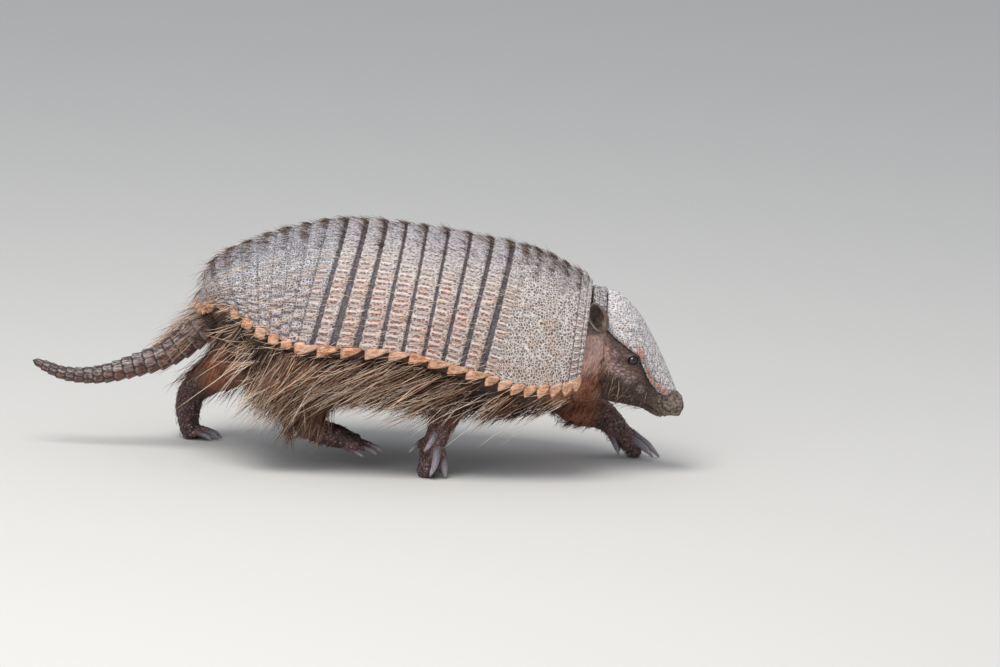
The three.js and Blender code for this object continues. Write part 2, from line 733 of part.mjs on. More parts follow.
// ---------------------------------------------------------------- neck
const NECK_RINGS = [
  { x: [108, 104], top: 126, low: 52, half: 44 },
  { x: [124, 120], top: 126, low: 49, half: 43 },
  { x: [134, 133], top: 127, low: 48, half: 38 },
  { x: [142.4, 141.4], top: 126, low: 50, half: 30 },
];
const NECK_SIDES = 18;

function neckPoint(ring, angle, lift = 0) {
  const up = V(ring.x[0] - ring.x[1], 0, ring.top - ring.low).multiplyScalar(0.5);
  const size = up.length();
  return V((ring.x[0] + ring.x[1]) / 2, 0, (ring.top + ring.low) / 2)
    .addScaledVector(up, (Math.cos(angle) * (size + lift)) / size)
    .add(V(0, Math.sin(angle) * (ring.half + lift), 0));
}

const neckCore = loft(
  NECK_RINGS.map((ring) => {
    const turns = evenly(0, 2 * Math.PI, NECK_SIDES).slice(0, NECK_SIDES);
    return turns.map((a) => neckPoint(ring, a));
  }),
);
const neck = toGeometry(clearOf(toSolid(neckCore), torso, headCore));
node('neck', neck, CHEEK_COLOR);

// One row of scutes over the nape, between the collar and the head shield.
const NUCHAL_X = [134.4, 141.6];
const NUCHAL_ANGLE = rad(50);
const NUCHAL_LEVELS = { groove: 2.3, top: 3.2, tilt: 0, inside: 0.8 };
const NUCHAL_SCUTES = 8;

function nuchalRing(x) {
  const t = (x - NECK_RINGS[2].x[0]) / (NECK_RINGS[3].x[0] - NECK_RINGS[2].x[0]);
  const between = (key) => lerp(NECK_RINGS[2][key], NECK_RINGS[3][key], t);
  return { x: [x, x], top: between('top'), low: between('low'), half: between('half') };
}

function nuchalBand() {
  const place = (i, j, lift) => {
    const ring = nuchalRing(lerp(...NUCHAL_X, i));
    return neckPoint(ring, NUCHAL_ANGLE * (-1 + (2 * j) / NUCHAL_SCUTES), lift);
  };
  return scutePlate(1, NUCHAL_SCUTES, place, NUCHAL_LEVELS);
}

node('nuchal_band', nuchalBand(), SHELL_COLOR);

// ---------------------------------------------------------------- ears
const EAR_SIDES = 10;
// From the root out over the rim and down into the cup: centre (x, y, z), half height, half width.
const EAR_RINGS = [
  { at: [141.5, 20, 107], tall: 4.5, wide: 4 },
  { at: [140.5, 26, 108.5], tall: 6, wide: 5 },
  { at: [138.5, 31, 111], tall: 9.5, wide: 7 },
  { at: [137.2, 36, 112.8], tall: 11, wide: 7.8 },
  { at: [137.2, 36.4, 112.8], tall: 10, wide: 6.9 },
  { at: [138.8, 31.5, 111], tall: 7.6, wide: 5 },
];
const EAR_CUP_BOTTOM = [139.8, 28.4, 109.5];
const EAR_LONG = V(-0.28, 0.12, 1).normalize();
const EAR_SHORT = V(1, 0.35, 0.24).normalize();

function ear(side) {
  const mirror = ([x, y, z]) => V(x, side * y, z);
  const long = V(EAR_LONG.x, side * EAR_LONG.y, EAR_LONG.z);
  const short = V(EAR_SHORT.x, side * EAR_SHORT.y, EAR_SHORT.z);
  const rings = EAR_RINGS.map(({ at, tall, wide }) =>
    evenly(0, 2 * Math.PI, EAR_SIDES)
      .slice(0, EAR_SIDES)
      .map((a) => {
        const middle = mirror(at).addScaledVector(long, tall * Math.cos(a));
        return middle.addScaledVector(short, wide * Math.sin(a));
      }),
  );
  return loft(rings, null, mirror(EAR_CUP_BOTTOM));
}

for (const [name, side] of [['ear_left', LEFT], ['ear_right', RIGHT]]) {
  const plates = [made.head_shield, made.nuchal_band, made.collar_band];
  const cut = clearOf(toSolid(ear(side)), headCore, neck, ...plates);
  node(name, toGeometry(cut.subtract(toSolid(headCore))), CHEEK_COLOR);
}

// ---------------------------------------------------------------- tail
const TAIL_ROOT = [[-116, 0, 99.5], [-128, 0, 96]];
const TAIL_PATH = [
  ...TAIL_ROOT,
  [-141, 0, 87.5],
  [-152, 0, 76.8],
  [-166, 0, 67.2],
  [-187, 0, 58.6],
  [-206, 0, 52.6],
  [-222, 0, 50.6],
  [-236.6, 0, 51.8],
  [-248, 0, 56],
  [-257.5, 0, 59.8],
];
// The tail's radius along its length, from its root to its tip.
const TAIL_RADII = [
  { along: 0, r: 11.6 },
  { along: 0.17, r: 11 },
  { along: 0.27, r: 9.3 },
  { along: 0.38, r: 8.3 },
  { along: 0.53, r: 7.1 },
  { along: 0.66, r: 6.1 },
  { along: 0.76, r: 5.4 },
  { along: 0.86, r: 4.4 },
  { along: 0.94, r: 3.4 },
  { along: 1, r: 1.4 },
];
const TAIL_RINGS = 16;
const TAIL_FIRST_RING = 0.13; // where the first ring starts, along the whole length
const TAIL_LAST_RING_END = 0.985;
const TAIL_TAPER = 0.62; // the last ring's length over the first one's
const TAIL_SCUTES = 7; // round each ring
const TAIL_LENGTHS = [
  { name: 'tail_base', rings: [0, 5] },
  { name: 'tail_mid', rings: [5, 11] },
  { name: 'tail_tip', rings: [11, 16] },
];

// Each ring's radius at its two edges, as parts of the tail's radius: in the grooves and on the scutes.
const TAIL_FRONT_EDGE = [0.94, 0.98];
const TAIL_REAR_EDGE = [1.0, 1.12];

const tailPath = new THREE.CatmullRomCurve3(TAIL_PATH.map((p) => V(...p)), false, 'centripetal');

// Where a ring starts: the rings shorten evenly towards the tip.
function tailRingStart(ring) {
  const sum = (count) => count + ((TAIL_TAPER - 1) * count * (count - 1)) / (2 * (TAIL_RINGS - 1));
  return lerp(TAIL_FIRST_RING, TAIL_LAST_RING_END, sum(ring) / sum(TAIL_RINGS));
}

function tailCircle(along, grooves, raised) {
  const place = tailPath.getPointAt(along);
  const tangent = tailPath.getTangentAt(along);
  const across = V(0, 1, 0);
  const over = tangent.clone().cross(across).normalize();
  const r = smoothThrough(TAIL_RADII, 'along', (s) => s.r, along);
  return evenly(0, 2 * TAIL_SCUTES - 1, 2 * TAIL_SCUTES - 1).map((j) => {
    const a = (j / TAIL_SCUTES) * Math.PI;
    const size = r * (j % 2 ? raised : grooves);
    const out = place.clone().addScaledVector(across, size * Math.cos(a));
    return out.addScaledVector(over, size * Math.sin(a));
  });
}

function tailLength([first, last]) {
  const rings = [];
  const final = last === TAIL_RINGS;
  if (first === 0) rings.push(tailCircle(0, ...TAIL_FRONT_EDGE), tailCircle(0.07, ...TAIL_FRONT_EDGE));
  for (let k = first; k < last; k += 1) {
    const start = tailRingStart(k);
    const size = tailRingStart(k + 1) - start;
    rings.push(tailCircle(start + 0.06 * size, ...TAIL_FRONT_EDGE));
    rings.push(tailCircle(start + 0.94 * size, ...TAIL_REAR_EDGE));
  }
  const end = tailRingStart(last);
  if (!final) rings.push(tailCircle(end - TAIL_GAP, ...TAIL_FRONT_EDGE));
  return loft(rings, null, final ? tailPath.getPointAt(1) : null);
}

const TAIL_GAP = GAP / tailPath.getLength();
for (const { name, rings } of TAIL_LENGTHS) {
  const length = tailLength(rings);
  const first = rings[0] === 0;
  node(name, first ? toGeometry(clearOf(toSolid(length), torso, made.pelvic_shield)) : length, TAIL_COLOR);
}

// ---------------------------------------------------------------- legs
// upper and lower are limb stations. Each claw runs from the knuckle inside the foot over its root and
// its middle to its tip.
const FORE_CLAW_R = 3.0;
const HIND_CLAW_R = 2.2;
// A toe and its claw: the toe's first joint, then the claw's root, middle and tip, and its relative size.
function digit(knuckle, root, middle, tip, size) {
  return { knuckle, root, middle, tip, size };
}

const LEGS = {
  fore_right: {
    upper: [
      { at: [56, -36, 92], wide: 15, deep: 19 },
      { at: [47, -50, 70], wide: 13, deep: 15 },
      { at: [38, -57, 52], wide: 9.5, deep: 10.5 },
      { at: [32.5, -59.5, 41], wide: 8.5, deep: 8.8 },
    ],
    lower: [
      { at: [34, -59, 44], wide: 8.6, deep: 9 },
      { at: [31, -60, 36], wide: 8.2, deep: 8.2 },
      { at: [28, -60.5, 26], wide: 8.8, deep: 8 },
      { at: [25, -60.5, 14], wide: 8.2, deep: 7.6 },
      { at: [23.5, -60.5, 3], wide: 7.6, deep: 7.2 },
    ],
    pads: [{ at: [21.5, -60.5, 5], r: 6.2 }],
    clawR: FORE_CLAW_R,
    claws: [
      digit([22, -56, 26], [16.8, -55.5, 22.5], [13, -55, 19.5], [9.8, -54.5, 16], 0.75),
      digit([30, -55, 22], [33, -54, 14], [33.5, -53.5, 8], [32.5, -53, 2.2], 0.9),
      digit([30, -61, 24], [33, -62, 14.5], [35.2, -62.5, 7], [36, -62.5, 0.7], 1.1),
      digit([28, -63, 32], [29.6, -68, 22.5], [28.8, -69.8, 12], [25.5, -69.5, 2.6], 1.15),
      digit([27, -62, 38], [27.5, -68, 31.5], [24.5, -70.8, 25.5], [20.6, -70.8, 20.2], 0.9),
    ],
  },
  fore_left: {
    upper: [
      { at: [92, 34, 92], wide: 15, deep: 19 },
      { at: [106, 46, 66], wide: 15, deep: 18 },
      { at: [116, 53, 46], wide: 13, deep: 15 },
      { at: [125, 54, 34], wide: 11, deep: 13 },
      { at: [133, 53.5, 31.5], wide: 10.4, deep: 12 },
    ],
    lower: [
      { at: [131, 53.5, 32], wide: 10.5, deep: 12 },
      { at: [143, 52, 29.8], wide: 9.8, deep: 11 },
      { at: [152, 51, 22.8], wide: 9.8, deep: 8.6 },
      { at: [160, 50.5, 14.5], wide: 9.6, deep: 7.2 },
      { at: [166, 50.5, 7.5], wide: 8, deep: 6 },
    ],
    pads: [{ at: [167.5, 50.5, 4.8], r: 6 }],
    clawR: FORE_CLAW_R,
    claws: [
      digit([148, 45, 22], [151.8, 42, 14.5], [154.8, 41, 8.5], [156.8, 40.5, 3.4], 0.8),
      digit([158, 48, 18], [166, 45, 14], [174, 43.5, 9], [181, 42.5, 2.6], 1.05),
      digit([158, 52, 19], [167.5, 52, 15.6], [177, 52.3, 9.4], [185.5, 52.5, 0.9], 1.2),
      digit([157, 56, 17], [164, 58.5, 12.5], [170.5, 60.5, 8], [176, 62, 2], 1.0),
      digit([150, 56, 18], [153.5, 60.5, 11.5], [156, 62, 7], [157.5, 62.5, 2], 0.75),
    ],
  },
  hind_right: {
    upper: [
      { at: [-86, -34, 96], wide: 22, deep: 30 },
      { at: [-72, -47, 76], wide: 21, deep: 26 },
      { at: [-62, -53, 56], wide: 16, deep: 19 },
      { at: [-62, -48, 40], wide: 10, deep: 12.5 },
    ],
    lower: [
      { at: [-62, -48.5, 43], wide: 10.4, deep: 13 },
      { at: [-61, -43.5, 31], wide: 8.4, deep: 10 },
      { at: [-52, -40, 25.5], wide: 8.4, deep: 8.6 },
      { at: [-40, -38.5, 22], wide: 9.6, deep: 8 },
      { at: [-27, -38, 18], wide: 9.8, deep: 6 },
    ],
    pads: [{ at: [-63, -40, 25.5], r: 6.2 }],
    clawR: HIND_CLAW_R,
    claws: [
      digit([-33, -32, 18], [-24.5, -29.5, 15], [-20.5, -28.8, 13.5], [-17, -28.4, 11.2], 0.9),
      digit([-30, -34, 19], [-19, -32.8, 16.5], [-14.6, -32.4, 15], [-10.5, -32, 12.2], 1.0),
      digit([-29, -38, 19], [-17.5, -38, 16.8], [-12.8, -38, 15.2], [-8.8, -38, 12.4], 1.1),
      digit([-31, -42, 18], [-20.5, -43, 15.5], [-16, -43.6, 14], [-12.4, -44, 11.4], 1.0),
      digit([-36, -45, 17], [-28.5, -47.5, 13.8], [-24.8, -48.4, 12.4], [-21.8, -48.8, 10.4], 0.85),
    ],
  },
  hind_left: {
    upper: [
      { at: [-92, 32, 96], wide: 22, deep: 30 },
      { at: [-103, 46, 78], wide: 20, deep: 27 },
      { at: [-116, 52, 58], wide: 16, deep: 20 },
      { at: [-134, 51.5, 44], wide: 11, deep: 12.5 },
      { at: [-144, 51, 37], wide: 9.6, deep: 10.6 },
    ],
    lower: [
      { at: [-141, 51, 39.5], wide: 10, deep: 11 },
      { at: [-147.5, 50.5, 31], wide: 9, deep: 9.8 },
      { at: [-149, 50, 19], wide: 9, deep: 8.8 },
      { at: [-148, 50, 9], wide: 10, deep: 7.4 },
      { at: [-146, 50, 2], wide: 10, deep: 6 },
    ],
    pads: [{ at: [-142, 50, 4.2], r: 5.6 }],
    clawR: HIND_CLAW_R,
    claws: [
      digit([-146, 43, 6], [-138.5, 40.5, 4.6], [-134.5, 39.6, 3.4], [-131.5, 39, 1], 0.9),
      digit([-144, 45.5, 7], [-134.5, 44.8, 5.4], [-130, 44.6, 4], [-126.5, 44.4, 1.2], 1.0),
      digit([-143, 50, 7], [-133, 50, 5.6], [-128.4, 50, 4.2], [-124.6, 50, 1.2], 1.1),
      digit([-144, 54.5, 7], [-135, 55.2, 5.4], [-131, 55.6, 4], [-127.4, 56, 1.2], 1.0),
      digit([-147, 58, 6], [-140.5, 59.8, 4.6], [-136.8, 60.6, 3.4], [-134, 61, 1], 0.85),
    ],
  },
};

const CLAW_START = 0.55; // from the end of the toe

function clawDirection({ root, middle }) {
  return V(...middle).sub(V(...root)).normalize();
}

const TOE_END = 0.02; // past the claw's root

function claw(one, radius) {
  const { root, middle, tip, size } = one;
  const r = radius * size;
  const start = V(...root).addScaledVector(clawDirection(one), CLAW_START).toArray();
  const stations = [
    { at: start, wide: r * 0.85, deep: r },
    { at: middle, wide: r * 0.66, deep: r * 0.8 },
    { at: tip, wide: 0.3, deep: 0.3 },
  ];
  return limb(stations, { sides: 5, steps: 1, flatStart: true });
}

function toe(one, radius) {
  const r = radius * one.size;
  const last = V(...one.root).addScaledVector(clawDirection(one), TOE_END);
  const stations = [
    { at: one.knuckle, wide: r * 1.4, deep: r * 1.4 },
    { at: last.toArray(), wide: r * 1.15, deep: r * 1.15 },
  ];
  return limb(stations, { sides: 5, steps: 1, flatEnd: true });
}

const FLOOR_DEPTH = 30;
const floor = new THREE.BoxGeometry(600, 300, FLOOR_DEPTH).translate(0, 0, -FLOOR_DEPTH / 2);
const SOLE_LIFT = 0.02;

// Locks on the outer side of each thigh: the thigh's own height, from top to bottom, with their lie.
const THIGH_LOCKS = { count: 6, span: [0.24, 0.64], length: 33, width: 12, fall: 58 };

function thighLocks({ upper }, side, random) {
  const path = new THREE.CatmullRomCurve3(upper.map((s) => V(...s.at)), false, 'centripetal');
  return evenly(0, THIGH_LOCKS.count - 1, THIGH_LOCKS.count - 1).map((i) => {
    const t = lerp(...THIGH_LOCKS.span, i / (THIGH_LOCKS.count - 1));
    const s = Math.min(Math.floor(t * (upper.length - 1)), upper.length - 2);
    const f = t * (upper.length - 1) - s;
    const turn = rad(i % 2 ? 20 : -38);
    const normal = V(Math.sin(turn), side * Math.cos(turn), 0.05).normalize();
    const reach = V(
      lerp(upper[s].deep, upper[s + 1].deep, f) * normal.x,
      lerp(upper[s].wide, upper[s + 1].wide, f) * normal.y,
      0,
    );
    const size = { length: THIGH_LOCKS.length * (0.9 + 0.25 * random()), width: THIGH_LOCKS.width };
    const root = path.getPoint(t).add(reach.multiplyScalar(0.96));
    return lock(root, normal, lieOf(THIGH_LOCKS.fall, side, 0.04), size);
  });
}

const random = seededRandom(20);
for (const [name, leg] of Object.entries(LEGS)) {
  const side = name.endsWith('left') ? LEFT : RIGHT;
  const pieces = [limb(leg.upper, { sides: 10, steps: 1 })];
  if (name.startsWith('hind')) pieces.push(...thighLocks(leg, side, random));
  const upper = toGeometry(clearOf(joined(...pieces), torso, neckCore, made.collar_band));
  node(`${name}_upper`, upper, SKIN_COLOR);
  const lower = [limb(leg.lower, { sides: 7, steps: 1 }), ...leg.claws.map((c) => toe(c, leg.clawR))];
  leg.pads.forEach(({ at, r }) => lower.push(new THREE.SphereGeometry(r, 6, 4).translate(...at)));
  const claws = leg.claws.map((c) => claw(c, leg.clawR));
  const foot = clearOf(joined(...lower), upper, ...claws).subtract(toSolid(floor));
  node(`${name}_foot`, toGeometry(foot), SKIN_COLOR);
  claws.forEach((one, i) => {
    const trimmed = toSolid(one).subtract(toSolid(floor.clone().translate(0, 0, SOLE_LIFT)));
    node(`${name}_claw_${i + 1}`, toGeometry(trimmed), CLAW_COLOR, 0.45);
  });
}

const COAT_NEIGHBOURS = ['pelvic_shield', 'scapular_shield', 'collar_band', 'tail_base', 'neck'];
const legNodes = Object.keys(LEGS).flatMap((name) => [made[`${name}_upper`], made[`${name}_foot`]]);
const coat = clearOf(
  joined(...flankLocks(LEFT, random), ...flankLocks(RIGHT, random)),
  ...legNodes,
  ...COAT_NEIGHBOURS.map((name) => made[name]),
);
const apart = legNodes.reduce((left, one) => left.subtract(toSolid(one)), coat);
node('torso', toGeometry(toSolid(torso).add(apart)), HAIR_COLOR);

// ---------------------------------------------------------------- origin
// The origin is the middle of the model's footprint, on the level of its soles.
const bounds = new THREE.Box3().setFromObject(group);
const centre = bounds.getCenter(V());
group.position.set(-centre.x, -centre.y, -bounds.min.z);

export default group;
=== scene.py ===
"""A walking big hairy armadillo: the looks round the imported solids.

Shapes are in millimetres, in the frame that the solids are modelled in, and each mesh is turned into
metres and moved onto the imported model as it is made. Rows count along the body from the rump (0) to the
collar (23), and across runs from -1 at the right margin of the shell, over 0 at the ridge, to 1 at the left.
"""

import math

import bmesh
import bpy
import numpy as np
from mathutils import Matrix, Vector


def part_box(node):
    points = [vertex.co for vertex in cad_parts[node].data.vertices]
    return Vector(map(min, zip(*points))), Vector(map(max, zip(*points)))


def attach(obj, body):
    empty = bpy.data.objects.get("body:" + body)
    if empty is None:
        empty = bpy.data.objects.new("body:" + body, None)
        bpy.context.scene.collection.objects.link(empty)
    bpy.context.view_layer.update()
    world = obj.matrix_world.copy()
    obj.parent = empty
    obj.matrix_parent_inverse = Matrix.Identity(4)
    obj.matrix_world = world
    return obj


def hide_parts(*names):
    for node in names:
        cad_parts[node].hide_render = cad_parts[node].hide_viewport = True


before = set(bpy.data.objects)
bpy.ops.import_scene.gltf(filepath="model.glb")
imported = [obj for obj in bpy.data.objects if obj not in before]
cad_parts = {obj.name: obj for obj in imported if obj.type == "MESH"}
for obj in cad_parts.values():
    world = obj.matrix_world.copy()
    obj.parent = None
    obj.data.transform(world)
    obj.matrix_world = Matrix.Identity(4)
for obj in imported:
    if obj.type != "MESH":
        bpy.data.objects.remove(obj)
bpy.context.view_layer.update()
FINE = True

MM = 0.001
RIGHT, LEFT = -1, 1
SIDES = ((RIGHT, "right"), (LEFT, "left"))
EYE = np.array([162.4, 25.2, 82.8])
eye_low, eye_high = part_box("eye_left")
SHIFT = np.array((eye_low + eye_high) / 2) / MM - EYE

# ---------------------------------------------------------------- numbers and vectors


def srgb(r, g, b):
    """A colour as seen on a screen, as the linear one that a shader takes."""
    return tuple(c / 12.92 if c <= 0.04045 else ((c + 0.055) / 1.055) ** 2.4 for c in (r, g, b)) + (1.0,)


def unit(v):
    v = np.asarray(v, float)
    return v / np.maximum(np.linalg.norm(v, axis=-1, keepdims=True), 1e-9)


def lerp(a, b, t):
    return a + (b - a) * t


def smoothstep(low, high, x):
    t = np.clip((np.asarray(x, float) - low) / (high - low), 0, 1)
    return t * t * (3 - 2 * t)


def signed_power(value, power):
    return np.sign(value) * np.abs(value) ** power


def through(keys, values, at):
    """A smooth value through sorted stations."""
    keys = np.asarray(keys, float)
    values = np.asarray(values, float)
    at = np.asarray(at, float)
    i = np.clip(np.searchsorted(keys, at, side="right") - 1, 0, len(keys) - 2)
    steps = np.diff(keys)
    ends = np.diff(values) / steps
    slopes = np.concatenate([ends[:1], (values[2:] - values[:-2]) / (keys[2:] - keys[:-2]), ends[-1:]])
    span = steps[i]
    t = (at - keys[i]) / span
    t2, t3 = t * t, t * t * t
    return (
        (2 * t3 - 3 * t2 + 1) * values[i]
        + (t3 - 2 * t2 + t) * span * slopes[i]
        + (-2 * t3 + 3 * t2) * values[i + 1]
        + (t3 - t2) * span * slopes[i + 1]
    )


def run_along(line):
    """How far along a line of points each of them lies."""
    return np.concatenate([[0], np.cumsum(np.linalg.norm(np.diff(line, axis=0), axis=1))])


def read_off(at, keys, points):
    """Points at places between given ones, straight from one to the next."""
    return np.stack([np.interp(at, keys, column) for column in np.transpose(points)], -1)


def along_segment(points, a, b):
    """How far along a segment (0 to 1) the place nearest to each point is, and the way from it to the
    point."""
    d = b - a
    t = np.clip(((points - a) @ d) / (d @ d), 0, 1)
    return t, points - a - t[:, None] * d


def rings_round(path, across, over, out, up):
    """Rings of points round a path. out and up say how far each point stands off along across and over."""
    return path[..., None, :] + across[..., None, :] * out[..., None] + over[..., None, :] * up[..., None]


def hashed(cells, salt):
    """A number from 0 to 1 for each whole-number cell, always the same one."""
    c = cells.astype(np.int64)
    h = (c[..., 0] * 73856093) ^ (c[..., 1] * 19349663) ^ (c[..., 2] * 83492791) ^ (salt * 2654435761)
    h = (h ^ (h >> 13)) * 1274126177 & 0x7FFFFFFF
    return ((h ^ (h >> 16)) & 0xFFFFFF) / float(0x1000000)


def cells(points, size, salt=1, jitter=0.85):
    """For each point, its distance in sizes to the nearest and the next nearest of a jittered grid of
    cell centres, and the nearest cell's own random number."""
    p = np.asarray(points, float) / size
    base = np.floor(p)
    first = np.full(len(p), 9.0)
    second = np.full(len(p), 9.0)
    tag = np.zeros(len(p))
    for dx in (-1, 0, 1):
        for dy in (-1, 0, 1):
            for dz in (-1, 0, 1):
                cell = base + (dx, dy, dz)
                centre = cell + 0.5
                for axis in range(3):
                    centre[:, axis] += jitter * (hashed(cell, salt + axis) - 0.5)
                d = np.linalg.norm(p - centre, axis=1)
                nearer = d < first
                second = np.where(nearer, first, np.minimum(second, d))
                tag = np.where(nearer, hashed(cell, salt + 7), tag)
                first = np.where(nearer, d, first)
    return first, second, tag


def noise(points, size, salt=1):
    """Smooth noise from -1 to 1 in lumps of a size."""
    p = np.asarray(points, float) / size
    base = np.floor(p)
    f = p - base
    f = f * f * (3 - 2 * f)
    total = np.zeros(len(p))
    for dx in (0, 1):
        for dy in (0, 1):
            for dz in (0, 1):
                weight = (
                    np.where(dx, f[:, 0], 1 - f[:, 0])
                    * np.where(dy, f[:, 1], 1 - f[:, 1])
                    * np.where(dz, f[:, 2], 1 - f[:, 2])
                )
                total += weight * hashed(base + (dx, dy, dz), salt)
    return total * 2 - 1


# ---------------------------------------------------------------- meshes


def put_in_scene(name, data):
    obj = bpy.data.objects.new(name, data)
    bpy.context.scene.collection.objects.link(obj)
    return obj


def set_attribute(mesh, name, values, kind="FLOAT", key="value"):
    """Gives a mesh one value for each vertex under a name that shaders read."""
    layer = mesh.attributes.new(name, kind, "POINT")
    layer.data.foreach_set(key, values.astype(np.float32).ravel())


class Build:
    """Collects vertices and faces, with named values on the vertices."""

    def __init__(self):
        self.points, self.faces, self.values, self.count = [], [], {}, 0

    def add(self, points, faces, **values):
        """Faces count from this call's first point. Each value is one number or one for each point."""
        points = np.asarray(points, float).reshape(-1, 3)
        for key, value in values.items():
            filled = np.broadcast_to(np.asarray(value, float), (len(points),))
            self.values.setdefault(key, [np.zeros(self.count)]).append(filled)
        for key in self.values.keys() - values.keys():
            self.values[key].append(np.zeros(len(points)))
        self.points.append(points)
        self.faces.append((self.count, faces))
        self.count += len(points)

    def mesh(self, name):
        points = (np.concatenate(self.points) + SHIFT) * MM
        loops, sizes = [], []
        for start, faces in self.faces:
            if isinstance(faces, np.ndarray):
                faces = (faces,)
            if isinstance(faces, tuple):
                for group in faces:
                    loops.append((group + start).ravel())
                    sizes.append(np.full(len(group), group.shape[1]))
            else:
                loops.append(np.concatenate([np.asarray(f) for f in faces]) + start)
                sizes.append(np.array([len(f) for f in faces]))
        loops = np.concatenate(loops).astype(np.int32)
        sizes = np.concatenate(sizes).astype(np.int32)
        mesh = bpy.data.meshes.new(name)
        mesh.vertices.add(len(points))
        mesh.vertices.foreach_set("co", points.astype(np.float32).ravel())
        mesh.loops.add(len(loops))
        mesh.loops.foreach_set("vertex_index", loops)
        mesh.polygons.add(len(sizes))
        starts = np.concatenate([[0], np.cumsum(sizes)[:-1]]).astype(np.int32)
        mesh.polygons.foreach_set("loop_start", starts)
        mesh.polygons.foreach_set("use_smooth", np.ones(len(sizes), bool))
        mesh.update(calc_edges=True)
        mesh.validate()
        for key, parts in self.values.items():
            set_attribute(mesh, key, np.concatenate(parts))
        return mesh


def piece(name, mesh, material, replaces=()):
    """Puts a mesh into the scene as a piece of the model."""
    obj = put_in_scene(name, mesh)
    mesh.materials.append(material)
    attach(obj, "root")
    if replaces:
        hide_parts(*replaces)


def grid_faces(rows, columns, closed=False):
    """Quads over a grid of points; closed joins the last column to the first."""
    i, j = np.meshgrid(np.arange(rows - 1), np.arange(columns if closed else columns - 1), indexing="ij")
    k = (j + 1) % columns
    quads = np.stack([i * columns + j, i * columns + k, (i + 1) * columns + k, (i + 1) * columns + j], -1)
    return quads.reshape(-1, 4)


def signed_volume(points, faces):
    """Above zero where the faces of a closed surface face out."""
    total = 0.0
    for size in {len(f) for f in faces}:
        group = np.array([f for f in faces if len(f) == size])
        for k in range(1, size - 1):
            fan = points[group[:, [0, k, k + 1]]]
            total += np.einsum("ij,ij->", fan[:, 0], np.cross(fan[:, 1], fan[:, 2]))
    return total


def facing_out(points, faces):
    """The list of faces of a closed surface, turned so that they face out."""
    return [f[::-1] for f in faces] if signed_volume(points, faces) < 0 else faces


def tube(rings, start=None, end=None):
    """A closed skin over rings of points, shape (rings, sides, 3), with a point at each end. Returns
    points and a list of faces."""
    rings = np.asarray(rings, float)
    count, sides = rings.shape[:2]
    start = rings[0].mean(0) if start is None else start
    end = rings[-1].mean(0) if end is None else end
    points = np.concatenate([rings.reshape(-1, 3), [start, end]])
    j = np.arange(sides)
    k = (j + 1) % sides
    near = np.stack([np.full(sides, count * sides), k, j], -1)
    far = np.stack([np.full(sides, count * sides + 1), (count - 1) * sides + j, (count - 1) * sides + k], -1)
    return points, facing_out(points, [*grid_faces(count, sides, closed=True), *near, *far])


# ---------------------------------------------------------------- the shell's surface
SHELL = np.array(
    [
        # row, ridge x, ridge z, foot x, foot z, half width
        [0, -142.8, 109.3, -126.5, 112.8, 50],
        [2, -132.0, 134.6, -113.0, 107.5, 63],
        [4, -107.5, 149.0, -99.0, 96.5, 72],
        [6, -81.0, 159.1, -85.0, 89.6, 78],
        [9, -40.9, 167.1, -62.0, 84.2, 83],
        [13, 15.4, 164.4, 2.0, 82.6, 85],
        [17, 75.6, 155.9, 55.6, 70.0, 81.5],
        [19.5, 101.0, 149.0, 87.0, 60.8, 75],
        [22, 124.6, 137.2, 117.6, 63.0, 65],
        [23, 133.0, 132.3, 126.0, 67.5, 61],
    ]
)
ARCH_WIDTH_POWER = 0.88
ARCH_HEIGHT_POWER = 0.92
ROW_GAP = 0.0135
PLATE_T = 2.4
PLATE_REACH = 0.95  # how far across the plates go; the scutes of the margin hang below
BELLY = np.array(
    [[0, -113, 72], [4, -92, 52], [9, -54, 49], [13, 6, 50], [17, 60, 46], [22, 112, 48], [23, 120, 52]]
)


def shell_bare(row, across):
    """A point on the shell's surface: an arch over each row, from its ridge to its two feet."""
    row, across = np.broadcast_arrays(np.asarray(row, float), np.asarray(across, float))
    rx, rz, fx, fz, half = (through(SHELL[:, 0], SHELL[:, k], row) for k in range(1, 6))
    a = across * math.pi / 2
    up = np.maximum(np.cos(a), 0) ** ARCH_HEIGHT_POWER
    out = signed_power(np.sin(a), ARCH_WIDTH_POWER)
    return np.stack([lerp(fx, rx, up), half * out, lerp(fz, rz, up)], -1)


def shell_normal(row, across):
    """The way out from the shell's surface."""
    d = 0.02
    row, across = np.broadcast_arrays(np.asarray(row, float), np.asarray(across, float))
    v = np.clip(across, d - 1, 1 - d)
    r = np.clip(row, d, 23 - d)
    along_row = shell_bare(r, v + d) - shell_bare(r, v - d)
    along_body = shell_bare(r + d, v) - shell_bare(r - d, v)
    return unit(np.cross(along_body, along_row))


def shell_point(row, across, lift=0.0):
    """A point at a height over the shell's surface."""
    return shell_bare(row, across) + shell_normal(row, across) * np.asarray(lift, float)[..., None]


def kept(count, parts):
    """The indices that split count points in a row into about so many parts."""
    return np.unique(np.linspace(0, count - 1, parts + 1).round().astype(int))


